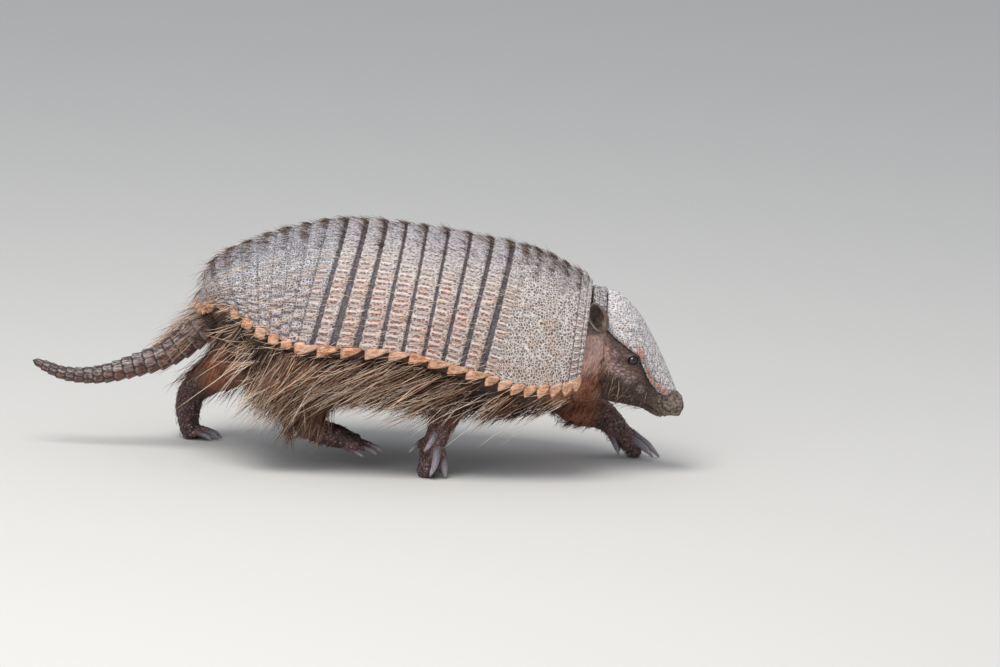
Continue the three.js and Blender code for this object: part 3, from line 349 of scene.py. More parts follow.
def add_slab(b, top, inner, parts, **values):
    """Adds a closed plate between two grids of points. Its lower side is coarser, with so many parts
    along and across. Each value is one number or a grid like the top's."""
    count, columns = top.shape[:2]
    down, over = kept(count, parts[0]), kept(columns, parts[1])
    under = inner[np.ix_(down, over)]
    points = np.concatenate([top.reshape(-1, 3), under.reshape(-1, 3)])
    upper = np.arange(count * columns).reshape(count, columns)
    lower = count * columns + np.arange(len(down) * len(over)).reshape(len(down), len(over))
    faces = [*grid_faces(count, columns), *(grid_faces(len(down), len(over))[:, ::-1] + count * columns)]
    rims = (
        (upper[0], lower[0], over, False),
        (upper[-1], lower[-1], over, True),
        (upper[:, 0], lower[:, 0], down, True),
        (upper[:, -1], lower[:, -1], down, False),
    )
    for rim, base, places, turned in rims:
        for k, (a, c) in enumerate(zip(places[:-1], places[1:])):
            wall = [*rim[a : c + 1][::-1], base[k], base[k + 1]]
            faces.append(wall[::-1] if turned else wall)
    filled = {}
    for key, value in values.items():
        grid = np.broadcast_to(np.asarray(value, float), (count, columns))
        filled[key] = np.concatenate([grid.ravel(), grid[np.ix_(down, over)].ravel()])
    b.add(points, facing_out(points, faces), **filled)


def rounded(fu, fv, long, wide, radius):
    """The distance in mm to the edge of a rounded rectangle, from the fractions of its length and width."""
    du = np.minimum(fu, 1 - fu) * long
    dv = np.minimum(fv, 1 - fv) * wide
    corner = radius - np.hypot(np.maximum(radius - du, 0), np.maximum(radius - dv, 0))
    return np.where((du < radius) & (dv < radius), corner, np.minimum(du, dv))


GROOVE_SLOPE = 0.7  # mm over which a scute rises from its groove


def scute_lift(fu, fv, long, wide, height, radius=1.6, apart=0.0):
    """How high a scute stands at a place in it, how deep in the groove (1) the place is, and how far
    from the scute's edge. apart is half the width of the groove's floor."""
    d = rounded(fu, fv, long, wide, radius) - apart
    rise = smoothstep(0.05, GROOVE_SLOPE, d)
    bulge = 0.3 * height * (1 - (2 * fu - 1) ** 2) * (1 - (2 * fv - 1) ** 2)
    return height * (rise - 1) + bulge * rise, 1 - rise, d


def arch_length(row):
    """The length of the shell's arch from ridge to margin, by the row."""
    line = shell_bare(row, np.linspace(0, 1, 60))
    return np.linalg.norm(np.diff(line, axis=0), axis=1).sum()


def even_across(row, count):
    """Places across the shell's plates that lie at equal distances along its arch."""
    fine = np.linspace(-PLATE_REACH, PLATE_REACH, 801)
    run = run_along(shell_bare(row, fine))
    return np.interp(np.linspace(0, run[-1], count + 1), run, fine)


# ---------------------------------------------------------------- shader nodes


class Shader:
    """Builds a material's nodes with short calls."""

    def __init__(self, name):
        self.material = bpy.data.materials.new(name)
        self.material.use_nodes = True
        self.tree = self.material.node_tree
        self.tree.nodes.clear()
        out = self.tree.nodes.new("ShaderNodeOutputMaterial")
        self.bsdf = self.tree.nodes.new("ShaderNodeBsdfPrincipled")
        self.tree.links.new(self.bsdf.outputs[0], out.inputs[0])

    def node(self, kind, inputs=(), **settings):
        n = self.tree.nodes.new("ShaderNode" + kind)
        for key, value in settings.items():
            setattr(n, key, value)
        for key, value in dict(inputs).items():
            self.put(n.inputs[key], value)
        return n

    def put(self, socket, value):
        if isinstance(value, bpy.types.NodeSocket):
            self.tree.links.new(value, socket)
        else:
            socket.default_value = value

    def value(self, name):
        return self.node("Attribute", attribute_name=name).outputs["Fac"]

    def place(self, scale=(1, 1, 1)):
        """The place on the model, in mm divided by a scale."""
        spot = self.node("TexCoord").outputs["Object"]
        each = tuple(1 / (MM * s) for s in scale)
        return self.node("VectorMath", {0: spot, 1: each}, operation="MULTIPLY").outputs[0]

    def math(self, operation, a, b=0.0, c=0.0, clamp=False):
        return self.node("Math", {0: a, 1: b, 2: c}, operation=operation, use_clamp=clamp).outputs[0]

    def times(self, first, *others):
        for other in others:
            first = self.math("MULTIPLY", first, other)
        return first

    def mix(self, amount, a, b, blend="MIX"):
        n = self.node("Mix", data_type="RGBA", blend_type=blend)
        self.put(n.inputs[0], amount)
        self.put(n.inputs[6], a)
        self.put(n.inputs[7], b)
        return n.outputs[2]

    def ramp(self, value, low, high, a=0.0, b=1.0):
        n = self.node("MapRange", {0: value, 1: low, 2: high, 3: a, 4: b}, interpolation_type="SMOOTHSTEP")
        return n.outputs[0]

    def noise(self, size, detail=3.0, place=None, rough=0.55):
        inputs = {"Vector": place or self.place(), "Scale": 1 / size, "Detail": detail, "Roughness": rough}
        return self.node("TexNoise", inputs).outputs["Fac"]

    def voronoi(self, size, place=None, feature="DISTANCE_TO_EDGE", output="Distance", random=1.0):
        inputs = {"Vector": place or self.place(), "Scale": 1 / size, "Randomness": random}
        return self.node("TexVoronoi", inputs, feature=feature).outputs[output]

    def bump(self, height, strength, distance_mm, normal=None):
        inputs = {"Height": height, "Strength": strength, "Distance": distance_mm * MM}
        if normal is not None:
            inputs["Normal"] = normal
        return self.node("Bump", inputs).outputs[0]

    def surface(self, color, roughness, normal=None, **more):
        self.put(self.bsdf.inputs["Base Color"], color)
        self.put(self.bsdf.inputs["Roughness"], roughness)
        if normal is not None:
            self.put(self.bsdf.inputs["Normal"], normal)
        for key, value in more.items():
            self.put(self.bsdf.inputs[key.replace("_", " ")], value)
        return self.material


SLOTS = 2  # dark slots across a comb-like scute


def scute_material(name, pale, pit, warm, cell, stretch, warm_from, share, blush, seam, crown=None):
    """Horny scutes: a pale network round dark pits, warmer low on the flank, darker in the grooves.
    The mesh gives: groove, tint, low (0 at the ridge, 1 at the margin), hinge, edge, and for a scute
    like a comb its rib, and the places along it (run) and across it (sv). cell is the size of a pit,
    and share half the width of the network's lines, in cells. blush is how warm the network turns low
    down, from warm_from on, and seam how dark the grooves are. crown is the network's colour along the
    ridge."""
    s = Shader(name)
    low, groove, tint = s.value("low"), s.value("groove"), s.value("tint")
    hinge, edge, rib = s.value("hinge"), s.value("edge"), s.value("rib")
    pale = s.mix(s.ramp(low, 0.12, 0.5), crown or pale, pale)
    spot = s.place(stretch)
    warp = s.node("TexNoise", {"Vector": spot, "Scale": 0.5, "Detail": 1.0}).outputs["Color"]
    bent = s.node("VectorMath", {0: spot, 1: warp}, operation="ADD").outputs[0]
    pits = s.ramp(s.voronoi(cell, bent, random=0.85), share - 0.05, share + 0.06)
    pits = s.times(pits, s.ramp(s.noise(4.0), 0.3, 0.6, 0.7, 1.0))
    fine = s.ramp(s.noise(0.8, 4.0), 0.35, 0.75)
    blotch = s.ramp(s.noise(14.0, 3.0), 0.36, 0.64, 0.35, 1.0)
    warmth = s.times(s.ramp(low, warm_from, 1.0), blotch, s.ramp(tint, 0.0, 1.0, 0.6, 1.0))
    dark = s.mix(warmth, pit, warm)
    inside = s.mix(s.ramp(s.noise(2.6, 2.0), 0.3, 0.6, 0.28, 0.0), pale, pit)
    inside = s.mix(s.times(warmth, blush), inside, srgb(0.80, 0.60, 0.52))
    color = s.mix(pits, inside, dark)
    # the comb of slots and ribs at the rear of a scute
    waver = s.math("MULTIPLY_ADD", s.noise(3.0), 2.0, -1.0)
    phase = s.math("MULTIPLY_ADD", s.value("sv"), 2 * math.pi * SLOTS, waver)
    comb = s.math("MULTIPLY_ADD", s.math("COSINE", phase), -0.5, 0.5)
    rear = s.times(s.ramp(s.value("run"), 0.06, 0.14), s.ramp(s.value("run"), 0.55, 0.8, 1.0, 0.0), rib)
    slot = s.times(rear, s.ramp(comb, 0.4, 0.75), s.ramp(s.noise(1.7), 0.36, 0.56, 0.2, 1.0))
    ridge = s.times(rear, s.ramp(comb, 0.45, 0.15))
    ember = s.times(s.ramp(low, 0.25, 0.6), s.ramp(blotch, 0.35, 1.0, 0.55, 1.0))
    color = s.mix(s.times(ridge, 0.8), color, s.mix(0.4, pale, srgb(0.90, 0.84, 0.79)))
    color = s.mix(s.times(slot, 0.9), color, s.mix(ember, srgb(0.38, 0.33, 0.34), srgb(0.52, 0.26, 0.17)))
    color = s.mix(s.times(fine, 0.16), color, srgb(0.86, 0.82, 0.79))
    color = s.mix(s.times(edge, 0.6), color, srgb(0.82, 0.78, 0.74))
    blush = s.times(s.value("blush"), 0.85)
    color = s.mix(blush, color, s.mix(pits, srgb(0.80, 0.55, 0.45), srgb(0.58, 0.31, 0.22)))
    color = s.mix(s.times(groove, seam, s.ramp(low, 0.15, 0.7, 0.5, 0.85)), color, srgb(0.27, 0.23, 0.22))
    # the bare strip between two bands
    fleck = s.ramp(s.voronoi(1.3, feature="F1"), 0.12, 0.34, 1.0, 0.0)
    fleck = s.times(fleck, s.ramp(low, 0.3, 0.9, 0.08, 0.5))
    strip = s.mix(s.ramp(s.noise(1.8, 4.0), 0.35, 0.7), srgb(0.27, 0.25, 0.265), srgb(0.42, 0.39, 0.41))
    strip = s.mix(fleck, strip, srgb(0.60, 0.55, 0.51))
    color = s.mix(hinge, color, strip)
    height = s.math("SUBTRACT", s.times(fine, 0.25), pits)
    height = s.math("SUBTRACT", height, s.times(slot, 0.8))
    height = s.times(height, s.math("SUBTRACT", 1.0, s.times(hinge, 0.7)))
    rough = s.ramp(s.noise(7.0), 0.3, 0.7, 0.52, 0.7)
    return s.surface(color, rough, s.bump(height, 0.7, 0.4), Specular_IOR_Level=0.35)


SHELL_MATERIAL = scute_material(
    "shell_scutes", pale=srgb(0.78, 0.77, 0.78), pit=srgb(0.23, 0.22, 0.26), warm=srgb(0.42, 0.22, 0.16),
    cell=1.7, stretch=(1.1, 1, 1), warm_from=0.45, share=0.11, blush=0.3, seam=0.8,
    crown=srgb(0.72, 0.71, 0.735),
)
SCAPULAR_MATERIAL = scute_material(
    "scapular_scutes", pale=srgb(0.86, 0.84, 0.82), pit=srgb(0.31, 0.25, 0.23), warm=srgb(0.42, 0.23, 0.17),
    cell=1.9, stretch=(1.0, 1, 1.2), warm_from=0.1, share=0.12, blush=0.3, seam=0.7,
    crown=srgb(0.76, 0.74, 0.75),
)
BAND_MATERIAL = scute_material(
    "band_scutes", pale=srgb(0.82, 0.79, 0.77), pit=srgb(0.30, 0.27, 0.29), warm=srgb(0.50, 0.22, 0.15),
    cell=1.5, stretch=(2.0, 1, 1), warm_from=0.2, share=0.15, blush=0.7, seam=0.5,
    crown=srgb(0.72, 0.695, 0.715),
)
HEAD_MATERIAL = scute_material(
    "head_scutes", pale=srgb(0.90, 0.88, 0.88), pit=srgb(0.43, 0.39, 0.41), warm=srgb(0.52, 0.29, 0.21),
    cell=2.2, stretch=(0.9, 1, 0.62), warm_from=0.5, share=0.165, blush=0.5, seam=0.7,
)


def margin_material():
    """Horn of the margin: orange-brown with a paler, finely pitted face."""
    s = Shader("margin_scutes")
    streak = s.noise(2.2, 3.0, s.place((3, 1, 1)))
    pits = s.ramp(s.voronoi(1.5, random=0.8), 0.04, 0.2)
    color = s.mix(s.ramp(streak, 0.36, 0.62), srgb(0.63, 0.38, 0.25), srgb(0.90, 0.69, 0.54))
    color = s.mix(s.times(s.value("tint"), 0.5), color, srgb(0.80, 0.68, 0.60))
    glint = s.ramp(s.noise(1.4, 3.0, s.place((5, 1, 1))), 0.56, 0.68)
    color = s.mix(s.times(glint, 0.6), color, srgb(0.93, 0.82, 0.72))
    color = s.mix(s.times(pits, s.ramp(s.noise(5.0), 0.35, 0.65, 0.1, 0.55)), color, srgb(0.46, 0.26, 0.17))
    color = s.mix(s.value("groove"), color, srgb(0.24, 0.15, 0.11))
    height = s.math("SUBTRACT", s.times(streak, 0.6), s.times(pits, 0.5))
    return s.surface(color, 0.52, s.bump(height, 0.5, 0.35), Specular_IOR_Level=0.4)


MARGIN_MATERIAL = margin_material()

# ---------------------------------------------------------------- shell plates
ROW_MM = 13.0  # the mean length of a row of the body
STRIP_TUCK = 0.05  # how far a strip goes on under the next band, in rows
FIRST_BAND_ROW, BANDS = 9, 8
STRIP_SHARES = (0.8, 1.0, 0.78, 0.55, 0.5, 0.5, 0.55, 0.75, 0.95)  # each strip's width, from the rear


def fractions(count, steps):
    """The index and the fraction in it of each place along count scutes of steps places each."""
    at = np.arange(count * steps + 1) / steps
    index = np.minimum(np.floor(at), count - 1)
    return index.astype(int), at - index


def half_strip(at, across):
    """Half the width of the bare strip between two bands, in rows."""
    share = STRIP_SHARES[at - FIRST_BAND_ROW]
    return share * lerp(0.135, 0.175, smoothstep(0.2, 0.95, np.abs(across)))


# A row of scutes: how deep its grooves are, how strong its ribs, how high its rear and front ends lie,
# how far its rear edges bulge, how wide its grooves are near the margin, and by what share of a scute
# the row is moved across.
PLAIN_ROW = dict(depth=0.8, rib=0.0, lifts=(0.5, 0.2), scallop=0.0, apart=0.0, stagger=0.0, strip=False)


def scute_row(rear, front, steps, **more):
    """A row of scutes, in so many mesh steps, from its rear to its front edge. An edge is one number or
    a function of the place across."""
    return dict(PLAIN_ROW, rear=rear, front=front, steps=steps, **more)


def edge_of(edge, across):
    return edge(across) if callable(edge) else edge + 0 * across


def strip_edge(at, way, tuck=0.0):
    """The rear (-1) or front (1) edge of the bare strip that is centred on a row."""
    return lambda across: at + way * half_strip(at, across) + tuck


def strip_row(at):
    """The bare strip centred on a row, which ends under the plate in front of it."""
    return scute_row(strip_edge(at, -1), strip_edge(at, 1, STRIP_TUCK), 5, strip=True)


def scute_sheet(node, rows, columns, steps, parts, seed, material, name=None):
    """A plate of rows of scutes and strips in place of a solid, from the rear: so many columns with so
    many mesh steps across a scute. parts splits its lower side."""
    name = name or node + "_scutes"
    draw = np.random.default_rng(seed)
    j, fv = fractions(columns, steps)
    middle = (edge_of(rows[0]["rear"], np.zeros(1)) + edge_of(rows[-1]["front"], np.zeros(1)))[0] / 2
    lines = even_across(middle, columns)
    across = lines[j] + (lines[j + 1] - lines[j]) * fv
    wide = arch_length(middle) / columns * 2
    grids = {key: [] for key in ("place", "lift", "groove", "tint", "hinge", "edge", "rib", "run")}
    for number, row in enumerate(rows):
        strip = row["strip"]
        ends = number + 1 == len(rows) or rows[number + 1]["strip"]
        fu = np.linspace(0.04, 1, row["steps"]) if strip else np.arange(row["steps"] + ends) / row["steps"]
        fu = fu[:, None]
        rear = edge_of(row["rear"], across)
        front = edge_of(row["front"], across)
        if not strip:
            rear = rear - row["scallop"] * (np.sqrt(np.maximum(1 - (2 * fv - 1) ** 2, 0)) - 0.5)
        blank = 0 * fu * fv
        own = np.mod(fv + row["stagger"], 1)
        tint = draw.uniform(0, 1, columns)[(j + (own < fv)) % columns] + blank
        if strip:
            lift, groove, edge, rib = -0.9 - 0.4 * fu + 0.1 * np.sin(across * 90), blank, blank, blank
        else:
            long = (front - rear) * ROW_MM
            apart = row["apart"] * smoothstep(0.35, 0.95, np.abs(across))
            lift, groove, d = scute_lift(fu, own, long, wide, row["depth"], 1.5 + 2 * apart, apart)
            groove = groove * min(row["depth"] * 1.4, 1.0)
            edge = smoothstep(0.25, 0.5, d) * (1 - smoothstep(0.65, 1.05, d)) * row["depth"]
            rib = row["rib"] * smoothstep(0.2, 0.6, np.abs(across)) + blank
            slots = (0.5 - 0.5 * np.cos(2 * math.pi * SLOTS * own)) * (1 - smoothstep(0.6, 0.75, fu))
            lift = lift + lerp(*row["lifts"], fu) + (0.2 * (tint - 0.5) - 0.22 * rib * slots) * (1 - groove)
        place = rear + (front - rear) * fu
        found = (place, lift, groove, tint, strip + blank, edge, rib, fu + blank)
        for key, grid in zip(grids, found):
            grids[key].append(np.broadcast_to(grid, blank.shape))
    grids = {key: np.concatenate(by_row) for key, by_row in grids.items()}
    place, lift = grids.pop("place"), grids.pop("lift")
    across = np.broadcast_to(across, place.shape)
    top = shell_point(place, across, lift)
    low = shell_point(place, across, np.full(place.shape, -PLATE_T))
    b = Build()
    add_slab(b, top, low, parts, low=np.abs(across), sv=j + fv, **grids)
    piece(name, b.mesh(name), material, [node])


def rows_between(rear, front, count, steps, **more):
    """Rows of scutes of equal length between two rows of the body, every second one staggered."""
    edges = np.linspace(rear, front, count + 1)
    pairs = enumerate(zip(edges[:-1], edges[1:]))
    return [scute_row(a, b, steps, stagger=0.5 * (k % 2), **more) for k, (a, b) in pairs]


FIRST_SCAPULAR = 0.98  # the length of the scapular shield's first row of scutes, in rows
COLLAR_ROWS = (22.0, 22.62, 23.0)  # the edges of the collar's two rows of scutes


def shell_plates():
    """The pelvic shield, the free bands, the scapular shield and the collar, each with its scutes."""
    rear, front = FIRST_BAND_ROW - 1, FIRST_BAND_ROW + BANDS
    pelvic = rows_between(0.0, rear, 9, 8, depth=0.6, apart=0.7)
    pelvic.append(scute_row(rear, strip_edge(FIRST_BAND_ROW, -1), 12, depth=0.85, rib=0.8))
    pelvic.append(strip_row(FIRST_BAND_ROW))
    scute_sheet("pelvic_shield", pelvic, 32, 10, (24, 32), 11, SHELL_MATERIAL)
    for number in range(BANDS):
        row = FIRST_BAND_ROW + number
        edges = strip_edge(row, 1), strip_edge(row + 1, -1)
        band = [scute_row(*edges, 14, depth=0.7, rib=1.0, lifts=(1.0, 0.35), scallop=0.09, apart=0.25)]
        band.append(strip_row(row + 1))
        scute_sheet(f"band_{number + 1}", band, 33, 13, (2, 36), 100 + number, BAND_MATERIAL)
    second = front + FIRST_SCAPULAR
    scapular = [scute_row(strip_edge(front, 1), second, 13, rib=1.0, lifts=(0.9, 0.3), scallop=0.06)]
    scapular += rows_between(second, COLLAR_ROWS[0] - ROW_GAP, 8, 7, depth=0.14, rib=0.1, lifts=(0.3, 0.3))
    scute_sheet("scapular_shield", scapular, 42, 10, (16, 40), 12, SCAPULAR_MATERIAL)
    rear, middle, front = COLLAR_ROWS
    collar = [scute_row(rear + ROW_GAP, middle, 9, depth=0.9, rib=1.0, lifts=(0.7, 0.4), scallop=0.03)]
    collar.append(scute_row(middle, front, 7, depth=0.9, rib=0.3))
    scute_sheet("collar_band", collar, 42, 9, (3, 40), 13, SCAPULAR_MATERIAL, name="collar_scutes")


shell_plates()

# ---------------------------------------------------------------- scutes of the margin
LEAF_THICK = 2.6
# Outlines of the margin's scutes, in half lengths to the rear and half depths down.
BAND_LEAF = [(1.0, 1.0), (1.0, -0.75), (0.8, -1.0), (-0.85, -1.0), (-1.0, -0.8), (-0.55, -0.05), (0.25, 0.62)]
SHIELD_LEAF = [(1.05, 1.0), (0.92, -0.5), (0.6, -1.0), (-0.75, -1.0), (-1.0, -0.5), (-0.6, 0.3), (0.2, 0.8)]
SQUARE_LEAF = [(0.95, 1.0), (1.0, -0.6), (0.75, -1.0), (-0.8, -1.0), (-1.0, -0.6), (-0.9, 0.6), (-0.4, 0.9)]


def smooth_outline(corners, turns):
    """A closed line of evenly spaced points through corners, slightly rounded."""
    ring = np.array(corners + corners[:1], float)
    run = run_along(ring)
    line = read_off(np.arange(turns) / turns * run[-1], run, ring)
    return (np.roll(line, 1, 0) + 2 * line + np.roll(line, -1, 0)) / 4


def leaf(centre, back, down, out, long, wide, thick, corners):
    """A closed flat scute with bevelled edges and the outline of corners."""
    turns, rings = 36, 6
    line = smooth_outline(corners, turns)
    r = np.sin(np.linspace(0, math.pi / 2, rings + 1))[1:]
    points = [centre + out * thick * 0.5, centre - out * thick * 0.5]
    faces = []
    rows = []
    for way in (1, -1):
        for k in range(rings - (way < 0)):
            h = thick * 0.5 * (1 - r[k] ** 5)
            ring = (
                np.asarray(centre)
                + np.outer(line[:, 0] * r[k] * long / 2, back)
                + np.outer(line[:, 1] * r[k] * wide / 2, down)
                + out * h * way
            )
            rows.append(len(points))
            points.extend(ring)
    j = np.arange(turns)
    k = (j + 1) % turns
    for a_row, b_row in zip(rows[: rings - 1], rows[1:rings]):
        faces += [list(f) for f in np.stack([a_row + j, a_row + k, b_row + k, b_row + j], -1)]
    faces += [[0, rows[0] + m, rows[0] + n] for m, n in zip(k, j)]
    below = rows[rings:] + [rows[rings - 1]]
    for a_row, b_row in zip(below[:-1], below[1:]):
        faces += [list(f) for f in np.stack([a_row + k, a_row + j, b_row + j, b_row + k], -1)]
    faces += [[1, below[0] + m, below[0] + n] for m, n in zip(j, k)]
    points = np.array(points)
    rim = np.zeros(len(points))
    rim[rows[rings - 1] : rows[rings - 1] + turns] = 0.9
    rim[rows[rings - 2] : rows[rings - 2] + turns] = 0.25
    return points, facing_out(points, faces), rim


def margin_scutes(name, rows, length, depth, corners, tilt, across, seed):
    """Scutes along both margins of the shell, centred on the given rows at a place across, with their
    rear ends tilted down."""
    b = Build()
    draw = np.random.default_rng(seed)
    for side in (RIGHT, LEFT):
        for row in rows:
            at = shell_point(row, side * across, 0.4)
            ahead = shell_point(min(row + 0.3, 23), side * across, 0.0)
            behind = shell_point(max(row - 0.3, 0), side * across, 0.0)
            back = unit(behind - ahead)
            out = shell_normal(row, side * across)
            down = unit(np.cross(out, back))
            down = down if down[2] < 0 else -down
            angle = math.radians(tilt + draw.uniform(-3, 3))
            tilted = back * math.cos(angle) + down * math.sin(angle)
            over = down * math.cos(angle) - back * math.sin(angle)
            size = draw.uniform(0.94, 1.06)
            centre = at - out * 0.3 * draw.uniform(0, 1)
            sizes = length * size, depth * size, LEAF_THICK
            points, faces, rim = leaf(centre, tilted, over, out, *sizes, corners)
            b.add(points, faces, groove=rim, tint=draw.uniform(0, 1))
    piece(name, b.mesh(name), MARGIN_MATERIAL)


def rump_scutes():
    """The scutes that hang from the shell's rear rim."""
    b = Build()
    draw = np.random.default_rng(31)
    for across in np.linspace(-0.9, 0.9, 16):
        at = shell_point(0.0, across, 0.0)
        inner = shell_point(0.5, across, 0.0)
        down = unit(at - inner)
        out = shell_normal(0.05, across)
        back = unit(np.cross(out, down))
        centre = at + down * 1.8 - out * 0.7
        wide = 8.2 * draw.uniform(0.92, 1.04)
        points, faces, rim = leaf(centre, down, back, out, 9.0, wide, LEAF_THICK, SQUARE_LEAF)
        b.add(points, faces, groove=rim, tint=draw.uniform(0, 1))
    piece("margin_scutes_rump", b.mesh("margin_scutes_rump"), MARGIN_MATERIAL)


margin_scutes("margin_scutes_pelvic", np.linspace(0.7, 8.3, 7), length=8.8, depth=8.6,
              corners=SQUARE_LEAF, tilt=8, across=0.962, seed=33)
margin_scutes("margin_scutes_bands", np.arange(8.9, 17, 1.0), length=16.5, depth=8.0,
              corners=BAND_LEAF, tilt=4, across=0.966, seed=97)
margin_scutes("margin_scutes_scapular", np.linspace(17.7, 22.8, 8), length=11.5, depth=8.0,
              corners=SHIELD_LEAF, tilt=20, across=0.964, seed=177)
rump_scutes()

# ---------------------------------------------------------------- head and neck surfaces
HEAD = np.array(
    [
        # top x, top z, bottom x, bottom z, half width
        [143.0, 129.0, 141.0, 50.0, 27],
        [151.0, 126.5, 149.0, 48.3, 28.5],
        [160.0, 119.3, 157.5, 47.0, 28],
        [168.0, 110.0, 164.5, 46.0, 26],
        [175.0, 98.8, 170.5, 44.6, 22.5],
        [181.0, 88.0, 175.5, 42.0, 18.5],
        [186.5, 77.2, 180.0, 39.6, 15],
        [191.0, 67.5, 185.0, 39.0, 12.5],
        [194.6, 60.0, 190.0, 40.0, 11],
        [199.0, 55.0, 197.6, 39.8, 9.5],
    ]
)
NOSE_TIP = (200.4, 47.2)
HEAD_EDGE = np.array([[0, 66], [1, 73.5], [2, 76], [3, 77], [4.5, 93], [6, 91], [7, 74], [8, 30], [9, 25]])
HEAD_SPAN = (0.12, 8.0)  # where the shield begins and ends, by the numbers of the ovals
HEAD_PLATE_T = 2.0


def oval_point(stations, keys, at, angle, lift):
    """A point on a skin over ovals, which are given by the x and z of their top and of their bottom
    and by their half width. angle runs round from the top."""
    tx, tz, lx, lz, half = (through(keys, stations[:, k], at) for k in range(5))
    ux, uz = (tx - lx) / 2, (tz - lz) / 2
    size = np.hypot(ux, uz)
    reach = np.cos(angle) * (size + lift) / size
    y = np.sin(angle) * (half + lift)
    return np.stack(np.broadcast_arrays((tx + lx) / 2 + ux * reach, y, (tz + lz) / 2 + uz * reach), -1)


def head_point(t, angle, lift=0.0):
    """A point on the head, by the number of its oval."""
    t, angle = np.broadcast_arrays(np.asarray(t, float), np.asarray(angle, float))
    return oval_point(HEAD, np.arange(len(HEAD)), t, angle, lift)


def head_edge(t):
    """How far round the head its shield reaches, as an angle from the top."""
    return np.radians(through(HEAD_EDGE[:, 0], HEAD_EDGE[:, 1], t))


HEAD_SCUTE = 5.4  # the mean size of a head scute


def head_shield():
    """The head's shield of many-sided scutes."""
    count, columns = (150, 150) if FINE else (80, 80)
    t = np.linspace(*HEAD_SPAN, count)[:, None]
    v = np.linspace(-1, 1, columns)[None, :]
    angle = head_edge(t) * v
    bare = head_point(t, angle)
    first, second, tag = cells(bare.reshape(-1, 3), HEAD_SCUTE, 21)
    gap = ((second - first) * HEAD_SCUTE / 2).reshape(count, columns)
    tag = tag.reshape(count, columns)
    side = (1 - np.abs(v)) * (head_edge(t) * 25)
    ends = np.minimum(t - HEAD_SPAN[0], HEAD_SPAN[1] - t) * 8
    border = smoothstep(0.0, 1.2, np.minimum(side, ends))
    rise = smoothstep(0.05, 0.75, gap)
    below = smoothstep(0.25, 0.8, np.abs(v)) * smoothstep(0.8, 3.0, t)
    depth = lerp(0.35, 0.8, below)
    lift = depth * (rise - 1) + 0.25 * (tag - 0.5) * rise - 0.9 * (1 - border)
    top = head_point(t, angle, lift)
    low = head_point(t, angle, -HEAD_PLATE_T)
    low_edge = smoothstep(0.72, 0.97, np.abs(v)) * smoothstep(1.0, 3.0, t)
    edge = smoothstep(0.55, 0.8, gap) * (1 - smoothstep(0.95, 1.4, gap)) * 0.8
    b = Build()
    pink = smoothstep(0.76, 0.86, np.abs(v) + 0.08 * (tag - 0.5)) * smoothstep(0.6, 1.6, t) * border
    pink = pink * smoothstep(0.15, 0.6, gap) * ((tag > 0.3) | (t > 4.0))
    seams = (1 - rise) * lerp(0.35, 1.0, below)
    add_slab(b, top, low, (24, 24), groove=seams, tint=tag, low=low_edge, edge=edge, blush=pink)
    piece("head_shield_scutes", b.mesh("head_shield_scutes"), HEAD_MATERIAL, ["head_shield"])


head_shield()

NECK = np.array(
    [
        # top x, top z, bottom x, bottom z, half width
        [108, 126, 104, 52, 44],
        [124, 126, 120, 49, 43],
        [134, 127, 133, 48, 38],
        [142.4, 126, 141.4, 50, 30],
    ]
)
NECK_X = (NECK[:, 0] + NECK[:, 2]) / 2


def neck_point(x, angle, lift=0.0):
    """A point on the neck, by the middle x of its oval."""
    return oval_point(NECK, NECK_X, x, angle, lift)


def nuchal_band():
    """The two short rows of scutes over the nape."""
    columns, steps = 12, (10, 8)
    i, fu = fractions(2, steps[0])
    j, fv = fractions(columns, steps[1])
    x = 132.9 + 9.8 * (i + fu) / 2
    angle = math.radians(49) * (-1 + 2 * (j + fv) / columns)
    lift, groove, _ = scute_lift(fu[:, None], fv[None, :], 3.8, 5.0, 0.7, 1.4)
    tint = np.random.default_rng(7).uniform(0, 1, (2, columns))[i][:, j]
    top = neck_point(x[:, None], angle[None, :], lift + 3.3)
    low = neck_point(x[:, None], angle[None, :], 0.9)
    b = Build()
    add_slab(b, top, low, (4, 24), groove=groove, tint=tint)
    piece("nuchal_scutes", b.mesh("nuchal_scutes"), SCAPULAR_MATERIAL, ["nuchal_band"])


nuchal_band()

# ---------------------------------------------------------------- limbs


def catmull(points, at):
    """A centripetal Catmull-Rom curve through points, at fractions of its length in spans."""
    p = np.asarray(points, float)
    p = np.concatenate([[2 * p[0] - p[1]], p, [2 * p[-1] - p[-2]]])
    at = np.asarray(at, float) * (len(p) - 3)
    i = np.clip(np.floor(at).astype(int), 0, len(p) - 4)
    f = (at - i)[:, None]
    p0, p1, p2, p3 = p[i], p[i + 1], p[i + 2], p[i + 3]
    pairs = ((p0, p1), (p1, p2), (p2, p3))
    d1, d2, d3 = (np.maximum(np.linalg.norm(b - a, axis=1), 1e-4)[:, None] ** 0.5 for a, b in pairs)
    t1 = ((p1 - p0) / d1 - (p2 - p0) / (d1 + d2) + (p2 - p1) / d2) * d2
    t2 = ((p2 - p1) / d2 - (p3 - p1) / (d2 + d3) + (p3 - p2) / d3) * d2
    f2, f3 = f * f, f * f * f
    return (2 * f3 - 3 * f2 + 1) * p1 + (f3 - 2 * f2 + f) * t1 + (-2 * f3 + 3 * f2) * p2 + (f3 - f2) * t2


